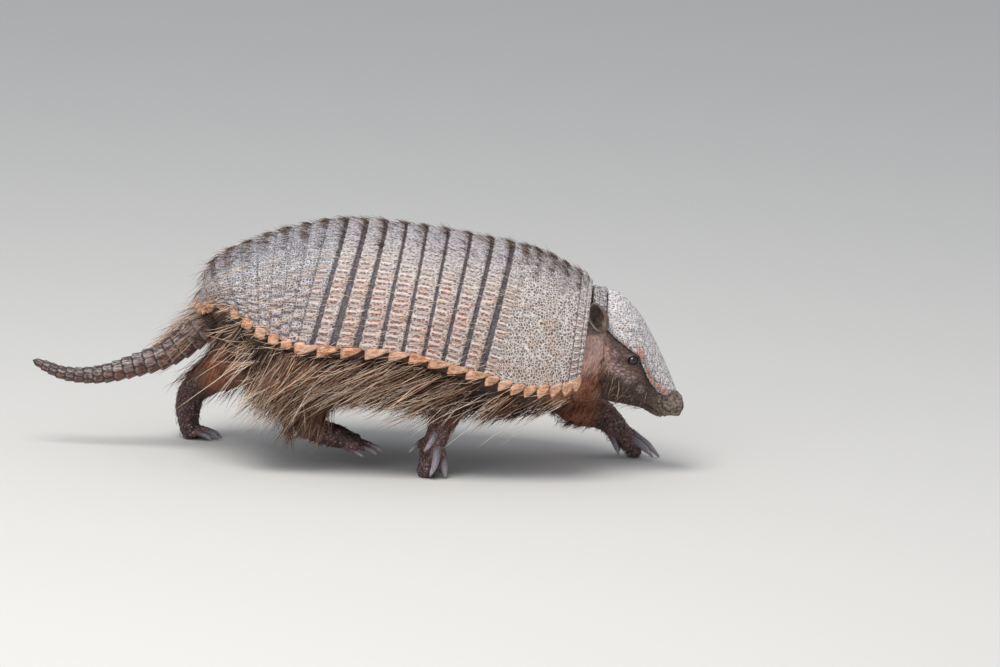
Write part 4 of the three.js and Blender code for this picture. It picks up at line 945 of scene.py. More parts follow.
def limb(stations, sides, steps, shrink, start_cap, end_cap):
    """A round-sided limb along stations (place, half width across Y, half depth), with so many steps
    between two of them. The caps are how far its ends bulge, in half depths."""
    places = [s[0] for s in stations]
    count = (len(stations) - 1) * steps + 1
    at = np.linspace(0, 1, count)
    path = catmull(places, at)
    along = unit(np.gradient(path, axis=0))
    across = unit(np.array([0, 1.0, 0]) - along * along[:, 1:2])
    over = np.cross(along, across)
    keys = np.linspace(0, 1, len(stations))
    wide = np.interp(at, keys, [s[1] for s in stations]) - shrink
    deep = np.interp(at, keys, [s[2] for s in stations]) - shrink
    a = (np.arange(sides) + 0.5) / sides * 2 * math.pi
    rings = rings_round(path, across, over, wide[:, None] * np.cos(a), deep[:, None] * np.sin(a))
    start = path[0] - along[0] * start_cap * deep[0]
    end = path[-1] + along[-1] * end_cap * deep[-1]
    return tube(rings, start, end)


# Each leg: stations of its upper and lower lengths (place, half width across, half depth), its pads
# (place, radius), the radius of its claws, and each claw's knuckle, root, middle, tip and size.
LEGS = {
    "fore_right": dict(
        upper=[
            ((56, -36, 92), 15, 19), ((47, -50, 70), 13, 15), ((38, -57, 52), 9.5, 10.5),
            ((32.5, -59.5, 41), 8.5, 8.8),
        ],
        lower=[
            ((34, -59, 44), 8.6, 9), ((31, -60, 36), 8.2, 8.2), ((28, -60.5, 26), 8.8, 8),
            ((25, -60.5, 14), 8.2, 7.6), ((23.5, -60.5, 3), 7.6, 7.2),
        ],
        pads=[((21.5, -60.5, 5), 6.2)],
        radius=3.0,
        claws=[
            ((22, -56, 26), (16.8, -55.5, 22.5), (13, -55, 19.5), (9.8, -54.5, 16), 0.75),
            ((30, -55, 22), (33, -54, 14), (33.5, -53.5, 8), (32.5, -53, 2.2), 0.9),
            ((30, -61, 24), (33, -62, 14.5), (35.2, -62.5, 7), (36, -62.5, 0.7), 1.1),
            ((28, -63, 32), (29.6, -68, 22.5), (28.8, -69.8, 12), (25.5, -69.5, 2.6), 1.15),
            ((27, -62, 38), (27.5, -68, 31.5), (24.5, -70.8, 25.5), (20.6, -70.8, 20.2), 0.9),
        ],
    ),
    "fore_left": dict(
        upper=[
            ((92, 34, 92), 15, 19), ((106, 46, 66), 15, 18), ((116, 53, 46), 13, 15),
            ((125, 54, 34), 11, 13), ((133, 53.5, 31.5), 10.4, 12),
        ],
        lower=[
            ((131, 53.5, 32), 10.5, 12), ((143, 52, 29.8), 9.8, 11), ((152, 51, 22.8), 9.8, 8.6),
            ((160, 50.5, 14.5), 9.6, 7.2), ((166, 50.5, 7.5), 8, 6),
        ],
        pads=[((167.5, 50.5, 4.8), 6)],
        radius=3.0,
        claws=[
            ((148, 45, 22), (151.8, 42, 14.5), (154.8, 41, 8.5), (156.8, 40.5, 3.4), 0.8),
            ((158, 48, 18), (166, 45, 14), (174, 43.5, 9), (181, 42.5, 2.6), 1.05),
            ((158, 52, 19), (167.5, 52, 15.6), (177, 52.3, 9.4), (185.5, 52.5, 0.9), 1.2),
            ((157, 56, 17), (164, 58.5, 12.5), (170.5, 60.5, 8), (176, 62, 2), 1.0),
            ((150, 56, 18), (153.5, 60.5, 11.5), (156, 62, 7), (157.5, 62.5, 2), 0.75),
        ],
    ),
    "hind_right": dict(
        upper=[
            ((-86, -34, 96), 22, 30), ((-72, -47, 76), 21, 26), ((-62, -53, 56), 16, 19),
            ((-62, -48, 40), 10, 12.5),
        ],
        lower=[
            ((-62, -48.5, 43), 10.4, 13), ((-61, -43.5, 31), 8.4, 10), ((-52, -40, 25.5), 8.4, 8.6),
            ((-40, -38.5, 22), 9.6, 8), ((-27, -38, 18), 9.8, 6),
        ],
        pads=[((-63, -40, 25.5), 6.2)],
        radius=2.2,
        claws=[
            ((-33, -32, 18), (-24.5, -29.5, 15), (-20.5, -28.8, 13.5), (-17, -28.4, 11.2), 0.9),
            ((-30, -34, 19), (-19, -32.8, 16.5), (-14.6, -32.4, 15), (-10.5, -32, 12.2), 1.0),
            ((-29, -38, 19), (-17.5, -38, 16.8), (-12.8, -38, 15.2), (-8.8, -38, 12.4), 1.1),
            ((-31, -42, 18), (-20.5, -43, 15.5), (-16, -43.6, 14), (-12.4, -44, 11.4), 1.0),
            ((-36, -45, 17), (-28.5, -47.5, 13.8), (-24.8, -48.4, 12.4), (-21.8, -48.8, 10.4), 0.85),
        ],
    ),
    "hind_left": dict(
        upper=[
            ((-92, 32, 96), 22, 30), ((-103, 46, 78), 20, 27), ((-116, 52, 58), 16, 20),
            ((-134, 51.5, 44), 11, 12.5), ((-144, 51, 37), 9.6, 10.6),
        ],
        lower=[
            ((-141, 51, 39.5), 10, 11), ((-147.5, 50.5, 31), 9, 9.8), ((-149, 50, 19), 9, 8.8),
            ((-148, 50, 9), 10, 7.4), ((-146, 50, 2), 10, 6),
        ],
        pads=[((-142, 50, 4.2), 5.6)],
        radius=2.2,
        claws=[
            ((-146, 43, 6), (-138.5, 40.5, 4.6), (-134.5, 39.6, 3.4), (-131.5, 39, 1), 0.9),
            ((-144, 45.5, 7), (-134.5, 44.8, 5.4), (-130, 44.6, 4), (-126.5, 44.4, 1.2), 1.0),
            ((-143, 50, 7), (-133, 50, 5.6), (-128.4, 50, 4.2), (-124.6, 50, 1.2), 1.1),
            ((-144, 54.5, 7), (-135, 55.2, 5.4), (-131, 55.6, 4), (-127.4, 56, 1.2), 1.0),
            ((-147, 58, 6), (-140.5, 59.8, 4.6), (-136.8, 60.6, 3.4), (-134, 61, 1), 0.85),
        ],
    ),
}


def leg_line(leg):
    """The places of a leg's stations from the body to the toes, with their half widths and half depths."""
    stations = leg["upper"] + leg["lower"][1:]
    return tuple(np.array([s[k] for s in stations], float) for k in range(3))


def sphere(centre, radius, sides=24):
    """A ball with its poles fore and aft."""
    a = np.linspace(0, math.pi, sides // 2 + 1)[1:-1]
    b = np.arange(sides) / sides * 2 * math.pi
    ring = np.stack(
        [np.cos(a)[:, None] + 0 * b, np.sin(a)[:, None] * np.cos(b), np.sin(a)[:, None] * np.sin(b)], -1
    )
    c = np.asarray(centre, float)
    pole = np.array([1, 0, 0]) * radius
    return tube(c + ring * radius, c + pole, c - pole)


# ---------------------------------------------------------------- tail
TAIL_PATH = [
    (-116, 0, 99.5), (-128, 0, 96), (-141, 0, 87.5), (-152, 0, 76.8), (-166, 0, 67.2), (-187, 0, 58.6),
    (-206, 0, 52.6), (-222, 0, 50.6), (-236.6, 0, 51.8), (-248, 0, 56), (-257.5, 0, 59.8),
]
TAIL_RADII = np.array(
    [
        [0, 12], [0.17, 11.6], [0.27, 10.2], [0.38, 9], [0.53, 7.6], [0.66, 6.4],
        [0.76, 5.4], [0.86, 4.4], [0.94, 3.4], [1, 1.4],
    ]
)
TAIL_RINGS = 18
TAIL_TAPER = 0.55  # the last ring's length as a share of the first one's
TAIL_SCUTES = 8
TAIL_RINGED = (0.13, 0.985)  # where the rings begin and end along the tail


def along_curve(points, count):
    """Points at even distances along a smooth curve, and their fractions of its length."""
    fine = catmull(points, np.linspace(0, 1, 600))
    run = run_along(fine)
    at = np.linspace(0, 1, count)
    return read_off(at * run[-1], run, fine), at


def tail_sides(along):
    """The ways across the tail and up from it, by the way along it."""
    across = np.tile([0, 1.0, 0], (len(along), 1))
    over = np.cross(across, along)
    return across, np.where(over[:, 2:] < 0, -over, over)


def tail():
    """The tail's rings of scutes, each ring tucked under the one before it."""
    steps = 12
    sides = TAIL_SCUTES * 10
    lengths = np.linspace(1, TAIL_TAPER, TAIL_RINGS)
    first, last = TAIL_RINGED
    edges = first + (last - first) * np.concatenate([[0], np.cumsum(lengths)]) / lengths.sum()
    i = np.repeat(np.arange(TAIL_RINGS), steps)
    f = np.tile((np.arange(steps) + 0.5) / steps, TAIL_RINGS)
    at = edges[i] + (edges[i + 1] - edges[i]) * f
    at = np.concatenate([[0.0, 0.05, 0.1], at])
    i = np.concatenate([[0, 0, 0], i])
    f = np.concatenate([[0, 0, 0], f])
    curve, keys = along_curve(TAIL_PATH, 400)
    centre = read_off(at, keys, curve)
    along = unit(np.gradient(centre, axis=0) / np.gradient(at)[:, None])
    across, over = tail_sides(along)
    radius = through(TAIL_RADII[:, 0], TAIL_RADII[:, 1], at)
    turn = np.arange(sides) / sides
    draw = np.random.default_rng(41)
    spin = (i % 2) * 0.5
    place = (turn[None, :] * TAIL_SCUTES + spin[:, None]) % TAIL_SCUTES
    j = np.floor(place).astype(int) % TAIL_SCUTES
    fv = place - np.floor(place)
    tips = smoothstep(4, 11, i)[:, None]
    rear = 1 - (0.10 + 0.22 * tips) * np.abs(2 * fv - 1) ** 1.6
    s = f[:, None] / rear
    inside = smoothstep(0.0, 0.1, 1 - s)
    gap = np.minimum(fv, 1 - fv) * radius[:, None] * 2 * math.pi / TAIL_SCUTES
    ridge = smoothstep(0.0, 0.9, gap)
    front = smoothstep(0.0, 0.14, s)
    lift = (0.1 + 0.9 * s * inside) * lerp(0.55, 1, ridge) * front
    body = radius[:, None] * 0.935 + lift * lerp(1.7, 0.95, tips)
    body[:3] = radius[:3, None] * 0.93
    angle = turn * 2 * math.pi
    rings = rings_round(centre, across, over, body * np.sin(angle), body * np.cos(angle))
    points, faces = tube(rings, centre[0] - along[0] * 2, curve[-1])
    tint = draw.uniform(0, 1, (TAIL_RINGS, TAIL_SCUTES))[i[:, None], j]
    groove = 1 - ridge * inside * front
    groove[:3] = 1
    rim = smoothstep(0.7, 0.95, s) * inside
    below = (1 - np.cos(angle))[None, :] / 2 + 0 * body
    values = dict(groove=groove, tint=tint, edge=rim, low=below)
    b = Build()
    b.add(points, faces, **{key: np.append(grid, [0, 0]) for key, grid in values.items()})
    lengths = ["tail_base", "tail_mid", "tail_tip"]
    piece("tail_scutes", b.mesh("tail_scutes"), tail_material(), lengths)


def tail_material():
    """Dark horn with pale streaks, warmer on the underside."""
    s = Shader("tail_scutes")
    streak = s.noise(1.5, 4.0, s.place((3.0, 1, 1)))
    pale = s.mix(s.value("tint"), srgb(0.46, 0.39, 0.37), srgb(0.64, 0.58, 0.56))
    color = s.mix(s.ramp(streak, 0.4, 0.62), srgb(0.23, 0.165, 0.155), pale)
    warm = s.times(s.ramp(s.value("low"), 0.25, 0.6), s.ramp(s.value("tint"), 0.15, 0.8, 0.5, 1.0))
    warm = s.times(warm, s.ramp(s.noise(4.0), 0.3, 0.6))
    color = s.mix(s.times(warm, 0.85), color, srgb(0.44, 0.23, 0.16))
    color = s.mix(s.times(s.value("edge"), 0.55), color, srgb(0.62, 0.58, 0.56))
    color = s.mix(s.times(s.value("groove"), 0.95), color, srgb(0.13, 0.085, 0.08))
    return s.surface(color, 0.45, s.bump(streak, 0.5, 0.3), Specular_IOR_Level=0.45)


tail()

# ---------------------------------------------------------------- claws and eyes


def claw_rings(root, middle, tip, size, radius, sides=16, count=14):
    """A digging claw: broad and flat on top, curved along its length, with a blunt tip."""
    at = np.linspace(0, 1, count)
    path = catmull([root, middle, tip], at)
    along = unit(np.gradient(path, axis=0))
    up = np.array([0.35, 0, 1.0])
    bend = unit(np.asarray(root, float) + np.asarray(tip, float) - 2 * np.asarray(middle, float))
    across = unit(np.cross(along, -bend if np.linalg.norm(bend) > 0.5 else up))
    over = np.cross(across, along)
    over = np.where((over @ -bend)[:, None] < 0, -over, over)
    r = radius * size
    wide = r * np.interp(at, [0, 0.5, 0.9, 1], [0.92, 0.72, 0.36, 0.2])
    deep = r * np.interp(at, [0, 0.5, 0.9, 1], [0.95, 0.78, 0.36, 0.2])
    a = np.arange(sides) / sides * 2 * math.pi
    y = signed_power(np.cos(a), 0.8)
    z = np.where(np.sin(a) > 0, np.sin(a) * 0.85, np.sin(a) * 0.95)
    return rings_round(path, across, over, wide[:, None] * y, deep[:, None] * z), at


def claw_material():
    """Grey horn with streaks along it, paler towards the tip."""
    s = Shader("claw_horn")
    along = s.value("along")
    streak = s.noise(0.7, 4.0, s.place((1, 1, 5)))
    color = s.mix(s.ramp(along, 0.0, 0.75), srgb(0.42, 0.39, 0.42), srgb(0.66, 0.62, 0.64))
    color = s.mix(s.ramp(streak, 0.35, 0.7, 0.0, 0.6), color, srgb(0.30, 0.26, 0.28))
    color = s.mix(s.ramp(along, 0.86, 1.0, 0.0, 0.5), color, srgb(0.55, 0.47, 0.40))
    return s.surface(color, 0.42, s.bump(streak, 0.35, 0.25), Specular_IOR_Level=0.5)


CLAW_MATERIAL = claw_material()


def claws():
    """The claws of all feet, each a piece of its own."""
    for leg, parts in LEGS.items():
        for number, (_, root, middle, tip, size) in enumerate(parts["claws"], 1):
            back = unit(np.array(root) - np.array(middle)) * 1.6
            rings, at = claw_rings(np.array(root) + back, middle, tip, size, parts["radius"])
            rings[..., 2] = np.maximum(rings[..., 2], 0.05)
            points, faces = tube(rings)
            along = np.concatenate([np.repeat(at, rings.shape[1]), [0, 1]])
            name = f"{leg}_claw_{number}"
            b = Build()
            b.add(points, faces, along=along)
            piece(name + "_horn", b.mesh(name + "_horn"), CLAW_MATERIAL, [name])


claws()


def eyes():
    """The two glossy eyeballs."""
    s = Shader("eye_gloss")
    ring = s.value("ring")
    color = s.mix(s.ramp(ring, 0.35, 0.6), srgb(0.04, 0.03, 0.03), srgb(0.17, 0.10, 0.07))
    color = s.mix(s.ramp(ring, 0.8, 0.95), color, srgb(0.06, 0.04, 0.04))
    color = s.mix(s.ramp(s.noise(0.4), 0.4, 0.7, 0.0, 0.3), color, srgb(0.02, 0.015, 0.015))
    material = s.surface(color, 0.07, None, Specular_IOR_Level=0.4, Coat_Weight=0.6, Coat_Roughness=0.03)
    for side, label in SIDES:
        centre = EYE * [1, side, 1]
        ahead = unit([0.35, side, 0.12])
        over = unit(np.cross(ahead, [0, 0, 1.0]))
        up = np.cross(over, ahead)
        a = np.linspace(0, math.pi, 25)[1:-1]
        b = np.arange(32) / 32 * 2 * math.pi
        bulge = 4.0 + 0.35 * smoothstep(0.55, 0.0, a / math.pi * 2)
        rings = (
            centre
            + ahead * (np.cos(a) * bulge)[:, None, None]
            + over * (np.sin(a) * bulge)[:, None, None] * np.cos(b)[None, :, None]
            + up * (np.sin(a) * bulge)[:, None, None] * np.sin(b)[None, :, None]
        )
        points, faces = tube(rings, centre + ahead * 4.35, centre - ahead * 4)
        value = np.concatenate([np.repeat(np.sin(a) + (a > math.pi / 2), 32), [0, 1]])
        build = Build()
        build.add(points, faces, ring=value)
        piece(f"eye_{label}_ball", build.mesh(f"eye_{label}_ball"), material, [f"eye_{label}"])


eyes()

# ---------------------------------------------------------------- skin
UNDER_SHELL = 3.6  # how deep the body lies under the shell's surface
FLANK_INSET = 11.4
BELLY_POWER = 0.8
SHIELD_BED = 2.6  # how deep the head's skin lies under its shield


def flank_point(row, turn, lift=0.0):
    """A point on the flanks and belly: turn is 0 at the left margin, pi / 2 below, pi at the right."""
    row, turn = np.broadcast_arrays(np.asarray(row, float), np.asarray(turn, float))
    fx, fz, half = (through(SHELL[:, 0], SHELL[:, k], row) for k in (3, 4, 5))
    lx, lz = (through(BELLY[:, 0], BELLY[:, k], row) for k in (1, 2))
    down = np.sin(turn) ** BELLY_POWER
    y = (half - FLANK_INSET + lift) * signed_power(np.cos(turn), BELLY_POWER)
    return np.stack([lerp(fx, lx, down), y, lerp(fz - 3, lz - lift, down)], -1)


def torso_loft():
    """The trunk: under the shell, down the flanks and over the belly."""
    rows = np.linspace(0.5, 22.85, 110)[:, None]
    across = np.linspace(-0.985, 0.985, 90)[None, :]
    turn = np.linspace(0, math.pi, 50)[None, :]
    under = shell_point(rows, across, -UNDER_SHELL + 0 * rows * across)
    return tube(np.concatenate([under, flank_point(rows, turn)], 1), (-132, 0, 92), (128, 0, 92))


def neck_loft():
    """The neck, from inside the trunk to inside the head."""
    x = np.linspace(NECK_X[0], NECK_X[-1], 24)[:, None]
    angle = np.linspace(0, 2 * math.pi, 64, endpoint=False)[None, :]
    return tube(neck_point(x, angle, -0.3 + 0 * x * angle))


def head_lift(t, angle):
    """The skin lies low under the head's shield, and rises round it."""
    a = np.abs((angle + math.pi) % (2 * math.pi) - math.pi)
    under = 1 - smoothstep(-0.03, 0.06, a - head_edge(t))
    under = under * (1 - smoothstep(HEAD_SPAN[1] - 0.05, HEAD_SPAN[1] + 0.15, t))
    return -0.5 - (SHIELD_BED - 0.5) * under


def head_loft():
    """The head, from inside the neck to the tip of the nose."""
    t = np.linspace(0, 9, 130)[:, None]
    angle = np.linspace(0, 2 * math.pi, 128, endpoint=False)[None, :]
    rings = head_point(t, angle, head_lift(t, angle))
    return tube(rings, (139, 0, 90), (NOSE_TIP[0], 0, NOSE_TIP[1]))


def from_eye(p):
    """The way to points from the middle of the eye on their own side."""
    return p - EYE * np.stack([np.ones(len(p)), np.sign(p[:, 1]), np.ones(len(p))], -1)


def torus(centre, normal, ring, thick, stretch, sides=16, turns=48):
    """A ring of flesh round an eye, stretched across by a factor."""
    n = unit(normal)
    u = unit(np.cross([0, 0, 1.0], n))
    v = np.cross(n, u)
    a = (np.arange(turns) / turns * 2 * math.pi)[:, None]
    b = (np.arange(sides) / sides * 2 * math.pi)[None, :]
    r = ring + thick * np.cos(b)
    p = (
        np.asarray(centre)
        + u * (r * np.cos(a) * stretch)[..., None]
        + v * (r * np.sin(a))[..., None]
        + n * (thick * np.sin(b) + 0 * a)[..., None]
    )
    quads = grid_faces(turns + 1, sides, closed=True) % (turns * sides)
    points = p.reshape(-1, 3)
    return points, facing_out(points, list(quads))


def toe(knuckle, root, middle, size, radius):
    """A toe's flesh from its knuckle to just past the root of its claw."""
    r = radius * size
    k, a, m = (np.asarray(p, float) for p in (knuckle, root, middle))
    b = a + unit(m - a) * 0.6
    stations = [(k, 1.35 * r, 1.3 * r), ((k + a) / 2, 1.3 * r, 1.22 * r), (b, 1.12 * r, 1.08 * r)]
    return limb(stations, sides=20, steps=6, shrink=0.15, start_cap=0.9, end_cap=0.25)


EAR_FOLD = 2 * math.pi - 0.55  # where the fold stands in the cup, round from its front
EAR_SIDES, EAR_OUTER, EAR_CUP = 48, 26, 14  # points round an ear, rings of its outer skin and of its cup


def ear_loft(side):
    """The ear's outer skin up to the rim and down into its cup."""
    outer = [
        ((142.5, 17, 105), 5.0, 4.4), ((141.5, 20, 107), 4.5, 4.0), ((140.5, 26, 108.5), 6.0, 5.0),
        ((138.5, 31, 111), 9.5, 7.0), ((137.2, 36, 112.8), 11.0, 7.8),
    ]
    cup = [
        ((136.4, 36.8, 113.4), 9.6, 5.6), ((137.2, 34.2, 112.8), 7.6, 4.2), ((138.2, 31.6, 111.8), 4.6, 2.4)
    ]
    tall = unit([-0.28, 0.12 * side, 1])
    wide = unit(np.array([1, 0.35 * side, 0.24]))
    wide = unit(wide - tall * (wide @ tall))
    a = np.arange(EAR_SIDES) / EAR_SIDES * 2 * math.pi

    def rings(stations, steps, fold):
        keys = np.arange(len(stations))
        at = np.linspace(0, len(stations) - 1, steps)
        c = np.stack([through(keys, [s[0][k] for s in stations], at) for k in range(3)], -1) * [1, side, 1]
        up = through(keys, [s[1] for s in stations], at)
        out = through(keys, [s[2] for s in stations], at)
        point = 1 + 0.1 * np.maximum(np.sin(a), 0) ** 4
        folded = 1 - fold * np.exp(-(((a - EAR_FOLD) / 0.42) ** 2))
        slim = (1 - 0.28 * smoothstep(0.1, -1.0, np.sin(a))) * folded
        high = (up[:, None] * np.sin(a) * point)[..., None]
        return c[:, None] + tall * high + wide * (out[:, None] * np.cos(a) * slim)[..., None]

    inner = rings(cup, EAR_CUP, np.linspace(0, 0.75, EAR_CUP)[:, None])
    floor = np.array([138.4, 30.8 * side, 111.4])
    return tube(np.concatenate([rings(outer, EAR_OUTER, 0.0), inner]), None, floor)


NOSTRIL = np.array([199.2, 3.9, 47.6])
MOUTH = np.array([(189.5, 33.0), (184.8, 41.6), (178, 46.6), (170, 50.8), (163, 54.2)])


def line_distance(points, line):
    """The distance in a plane from points to a line of segments, and how far along it they lie."""
    best = np.full(len(points), 1e9)
    where = np.zeros(len(points))
    total = 0.0
    for a, b in zip(line[:-1], line[1:]):
        t, off = along_segment(points, a, b)
        gap = np.linalg.norm(off, axis=1)
        nearer = gap < best
        best = np.where(nearer, gap, best)
        where = np.where(nearer, total + t * np.linalg.norm(b - a), where)
        total += np.linalg.norm(b - a)
    return best, where / total


def with_modifiers(source):
    """The mesh that an object's modifiers make of it. The object itself goes."""
    graph = bpy.context.evaluated_depsgraph_get()
    mesh = bpy.data.meshes.new_from_object(source.evaluated_get(graph))
    bpy.data.objects.remove(source)
    return mesh


def voxel_skin(parts, voxel):
    """One closed mesh round overlapping parts, slightly smoothed."""
    b = Build()
    for points, faces in parts:
        b.add(points, faces)
    source = put_in_scene("skin_source", b.mesh("skin_source"))
    remesh = source.modifiers.new("remesh", "REMESH")
    remesh.mode = "VOXEL"
    remesh.voxel_size = voxel * MM
    smooth = source.modifiers.new("smooth", "SMOOTH")
    smooth.factor = 0.5
    smooth.iterations = 5
    return with_modifiers(source)


def read_vertices(mesh, key):
    flat = np.empty(len(mesh.vertices) * 3, np.float32)
    mesh.vertices.foreach_get(key, flat)
    return flat.reshape(-1, 3).astype(float)


def read_points(mesh):
    return read_vertices(mesh, "co") / MM - SHIFT


def write_points(mesh, points):
    mesh.vertices.foreach_set("co", ((points + SHIFT) * MM).astype(np.float32).ravel())
    mesh.update()


def refine(mesh, chosen):
    """Splits the faces round the chosen vertices once."""
    bm = bmesh.new()
    bm.from_mesh(mesh)
    bm.verts.ensure_lookup_table()
    edges = [e for e in bm.edges if chosen[e.verts[0].index] and chosen[e.verts[1].index]]
    bmesh.ops.subdivide_edges(bm, edges=edges, cuts=1, use_grid_fill=True, smooth=0.6)
    bmesh.ops.triangulate(bm, faces=[f for f in bm.faces if len(f.verts) > 4])
    bm.to_mesh(mesh)
    bm.free()


def leg_distance(points):
    """For each point, how near it is to a leg's line, and which part of the leg it is on: 0 at the body
    to 1 at the toes."""
    near = np.full(len(points), 1e9)
    where = np.zeros(len(points))
    for leg in LEGS.values():
        line, wide, _ = leg_line(leg)
        for k in range(len(line) - 1):
            t, off = along_segment(points, line[k], line[k + 1])
            gap = np.linalg.norm(off, axis=1) - lerp(wide[k], wide[k + 1], t)
            nearer = gap < near
            near = np.where(nearer, gap, near)
            where = np.where(nearer, (k + t) / (len(line) - 1), where)
    return near, where


def skin_regions(p):
    """How much each point belongs to the face, to a foot, and so on."""
    x, y, z = p.T
    side = np.abs(y)
    near, leg = leg_distance(p)
    leg = np.where(x > 85, np.maximum(leg - 0.15, 0), leg)
    on_leg = 1 - smoothstep(0.5, 6.0, near)
    head = smoothstep(136, 143, x) * smoothstep(-4, 4, z - 40) * (1 - smoothstep(31, 36, side) * (z < 100))
    head = head * (1 - on_leg * (z < 36))
    tips = np.zeros(len(p))
    for parts in LEGS.values():
        for _, root, *_ in parts["claws"]:
            d = np.linalg.norm(p - np.array(root), axis=1)
            tips = np.maximum(tips, 1 - smoothstep(3.0, 9.0, d))
    ear = smoothstep(24, 28, side) * smoothstep(99, 103, z) * smoothstep(125, 128, x)
    return dict(leg=on_leg * (1 - head), along=leg, head=head, toes=tips * (1 - head), ear=ear)


WARTY = ((151, 77, 5.0), (160.5, 70, 5.0), (150, 87, 3.0), (156, 75, 4.0), (169, 62, 3.0))  # x, z and size


def warts(p):
    """The round warts of the cheek, and how warty each place is."""
    x, _, z = p.T
    spots = 1 - smoothstep(0.2, 0.42, cells(p, 2.6, 41)[0])
    patch = np.zeros(len(p))
    for middle_x, middle_z, size in WARTY:
        away = np.hypot(x - middle_x, z - middle_z)
        patch = np.maximum(patch, 1 - smoothstep(0.5 * size, 1.4 * size, away))
    return spots, patch


def form_skin(p, n, region):
    """Sinks the eye sockets, mouth and nostrils, and raises lids, lips, wrinkles and scales."""
    x, y, _ = p.T
    side = np.sign(y)
    move = np.zeros(len(p))
    shift = np.zeros_like(p)
    face = region["head"] * (1 - region["ear"])
    # mouth
    gap, run = line_distance(p[:, [0, 2]], MOUTH)
    fade = (1 - smoothstep(0.9, 1.0, run)) * face
    move -= 1.7 * np.exp(-((gap / 0.55) ** 2)) * fade
    below = p[:, 2] < np.interp(p[:, 0], MOUTH[::-1, 0], MOUTH[::-1, 1])
    move += np.where(below, 0.75, 0.55) * np.exp(-(((gap - 1.7) / 0.9) ** 2)) * fade
    # nostrils
    for s in (RIGHT, LEFT):
        hole = np.linalg.norm((p - NOSTRIL * [1, s, 1]) * [0.6, 1, 0.85], axis=1)
        depth = 1 - smoothstep(0.7, 1.6, hole)
        shift += depth[:, None] * np.array([-3.2, -0.9 * s, 0.2])
        move += 0.45 * np.exp(-(((hole - 2.1) / 0.6) ** 2)) * face
    # eye sockets and lids
    ahead = unit(np.stack([0.30 * np.ones(len(p)), side, 0.10 * np.ones(len(p))], -1))
    away = from_eye(p)
    depth = np.einsum("ij,ij->i", away, ahead)
    flat = away - ahead * depth[:, None]
    u = flat[:, 0] + 0.25 * flat[:, 2]
    v = flat[:, 2] - 0.12 * flat[:, 0]
    almond = np.hypot(u / 1.28, v / np.where(v > 0, 1.0, 0.95))
    close = (np.linalg.norm(away, axis=1) < 16) & (region["ear"] < 0.5)
    opening = (1 - smoothstep(2.55, 3.05, almond)) * close
    shift -= ahead * (np.maximum(depth - 0.5, 0) * opening)[:, None]
    lid_height = np.sqrt(np.maximum(4.75**2 - np.minimum(np.hypot(u, v), 4.7) ** 2, 0))
    lid = smoothstep(2.75, 3.2, almond) * (1 - smoothstep(3.5, 5.6, almond)) * close
    shift += ahead * (np.clip(lid_height + 0.25 - depth, -2.5, 2.5) * lid * (1 - opening))[:, None]
    fold = np.exp(-(((almond - 5.4) / 0.5) ** 2)) - 0.5 * np.exp(-(((almond - 6.6) / 0.6) ** 2))
    fold = fold - 0.4 * np.exp(-(((almond - 4.2) / 0.3) ** 2))
    move -= 0.45 * fold * close * (1 - opening)
    # wrinkles and warts of the face, which leave the eye's surround calm
    calm = smoothstep(4.5, 8.0, np.linalg.norm(away, axis=1))
    first, second, _ = cells(p * [0.8, 1.0, 1.35], 3.1, 5)
    crease = 1 - smoothstep(0.02, 0.3, second - first)
    cheek = face * calm * (1 - smoothstep(186, 192, x))
    move -= 0.55 * crease * cheek
    move += 0.12 * noise(p, 1.6, 9) * face
    spots, patch = warts(p)
    move += 0.45 * spots * patch * face * calm
    # scales of the legs and feet
    first, second, _ = cells(p, 4.1, 11)
    rise = smoothstep(0.03, 0.35, second - first)
    scaly = region["leg"] * smoothstep(0.38, 0.55, region["along"])
    move += (0.55 * rise - 0.3) * scaly
    move += 0.3 * noise(p, 7.0, 15) * region["leg"]
    move += 0.35 * noise(p, 3.0, 16) * (1 - face) * (1 - scaly)
    # ear skin
    move += 0.12 * noise(p, 2.2, 19) * region["ear"]
    rim = smoothstep(2.5, 2.9, almond) * (1 - smoothstep(3.3, 4.1, almond)) * close
    mouth = np.exp(-((gap / 1.0) ** 2)) * fade
    found = dict(crease=crease * cheek, mouth=mouth, scale=rise, scaly=scaly)
    return p + shift + n * move[:, None], dict(found, lid=lid, rim=rim, opening=opening)


SKIN_TONES = dict(
    # the skin's dark brown base: partly its own colour, partly painted shade under the hair of the flanks and
    # belly
    belly=(0.27, 0.18, 0.14),
    thigh=(0.68, 0.35, 0.18),
    leg=(0.34, 0.24, 0.235),
    knob=(0.58, 0.42, 0.42),
    face=(0.47, 0.35, 0.32),
    jowl=(0.98, 0.79, 0.76),
    jaw=(0.22, 0.145, 0.12),
    snout=(0.38, 0.31, 0.265),
    nose=(0.47, 0.40, 0.36),
    lid=(0.44, 0.35, 0.34),
    ear=(0.36, 0.31, 0.30),
    ear_rim=(0.76, 0.70, 0.65),
    dark=(0.12, 0.08, 0.07),
    bed=(0.28, 0.22, 0.20),
    spot=(0.86, 0.75, 0.74),
)
TONE = {key: np.array(srgb(*value)[:3]) for key, value in SKIN_TONES.items()}


def jowl(p):
    """How much a place belongs to the pale furry skin from the collar to the cheek."""
    x, y, z = p.T
    across = smoothstep(118, 124, x) * (1 - smoothstep(144, 151, x + 0.25 * (z - 85)))
    over = smoothstep(69, 77, z - 0.15 * (x - 135))
    return across * over * (1 - smoothstep(103, 109, z)) * (np.abs(y) > 14)


def paint(color, layers):
    """Lays tones over a colour one by one, each by its own amount at each point."""
    for tone, amount in layers:
        color = color + (TONE[tone] - color) * np.clip(amount, 0, 1)[:, None]
    return color


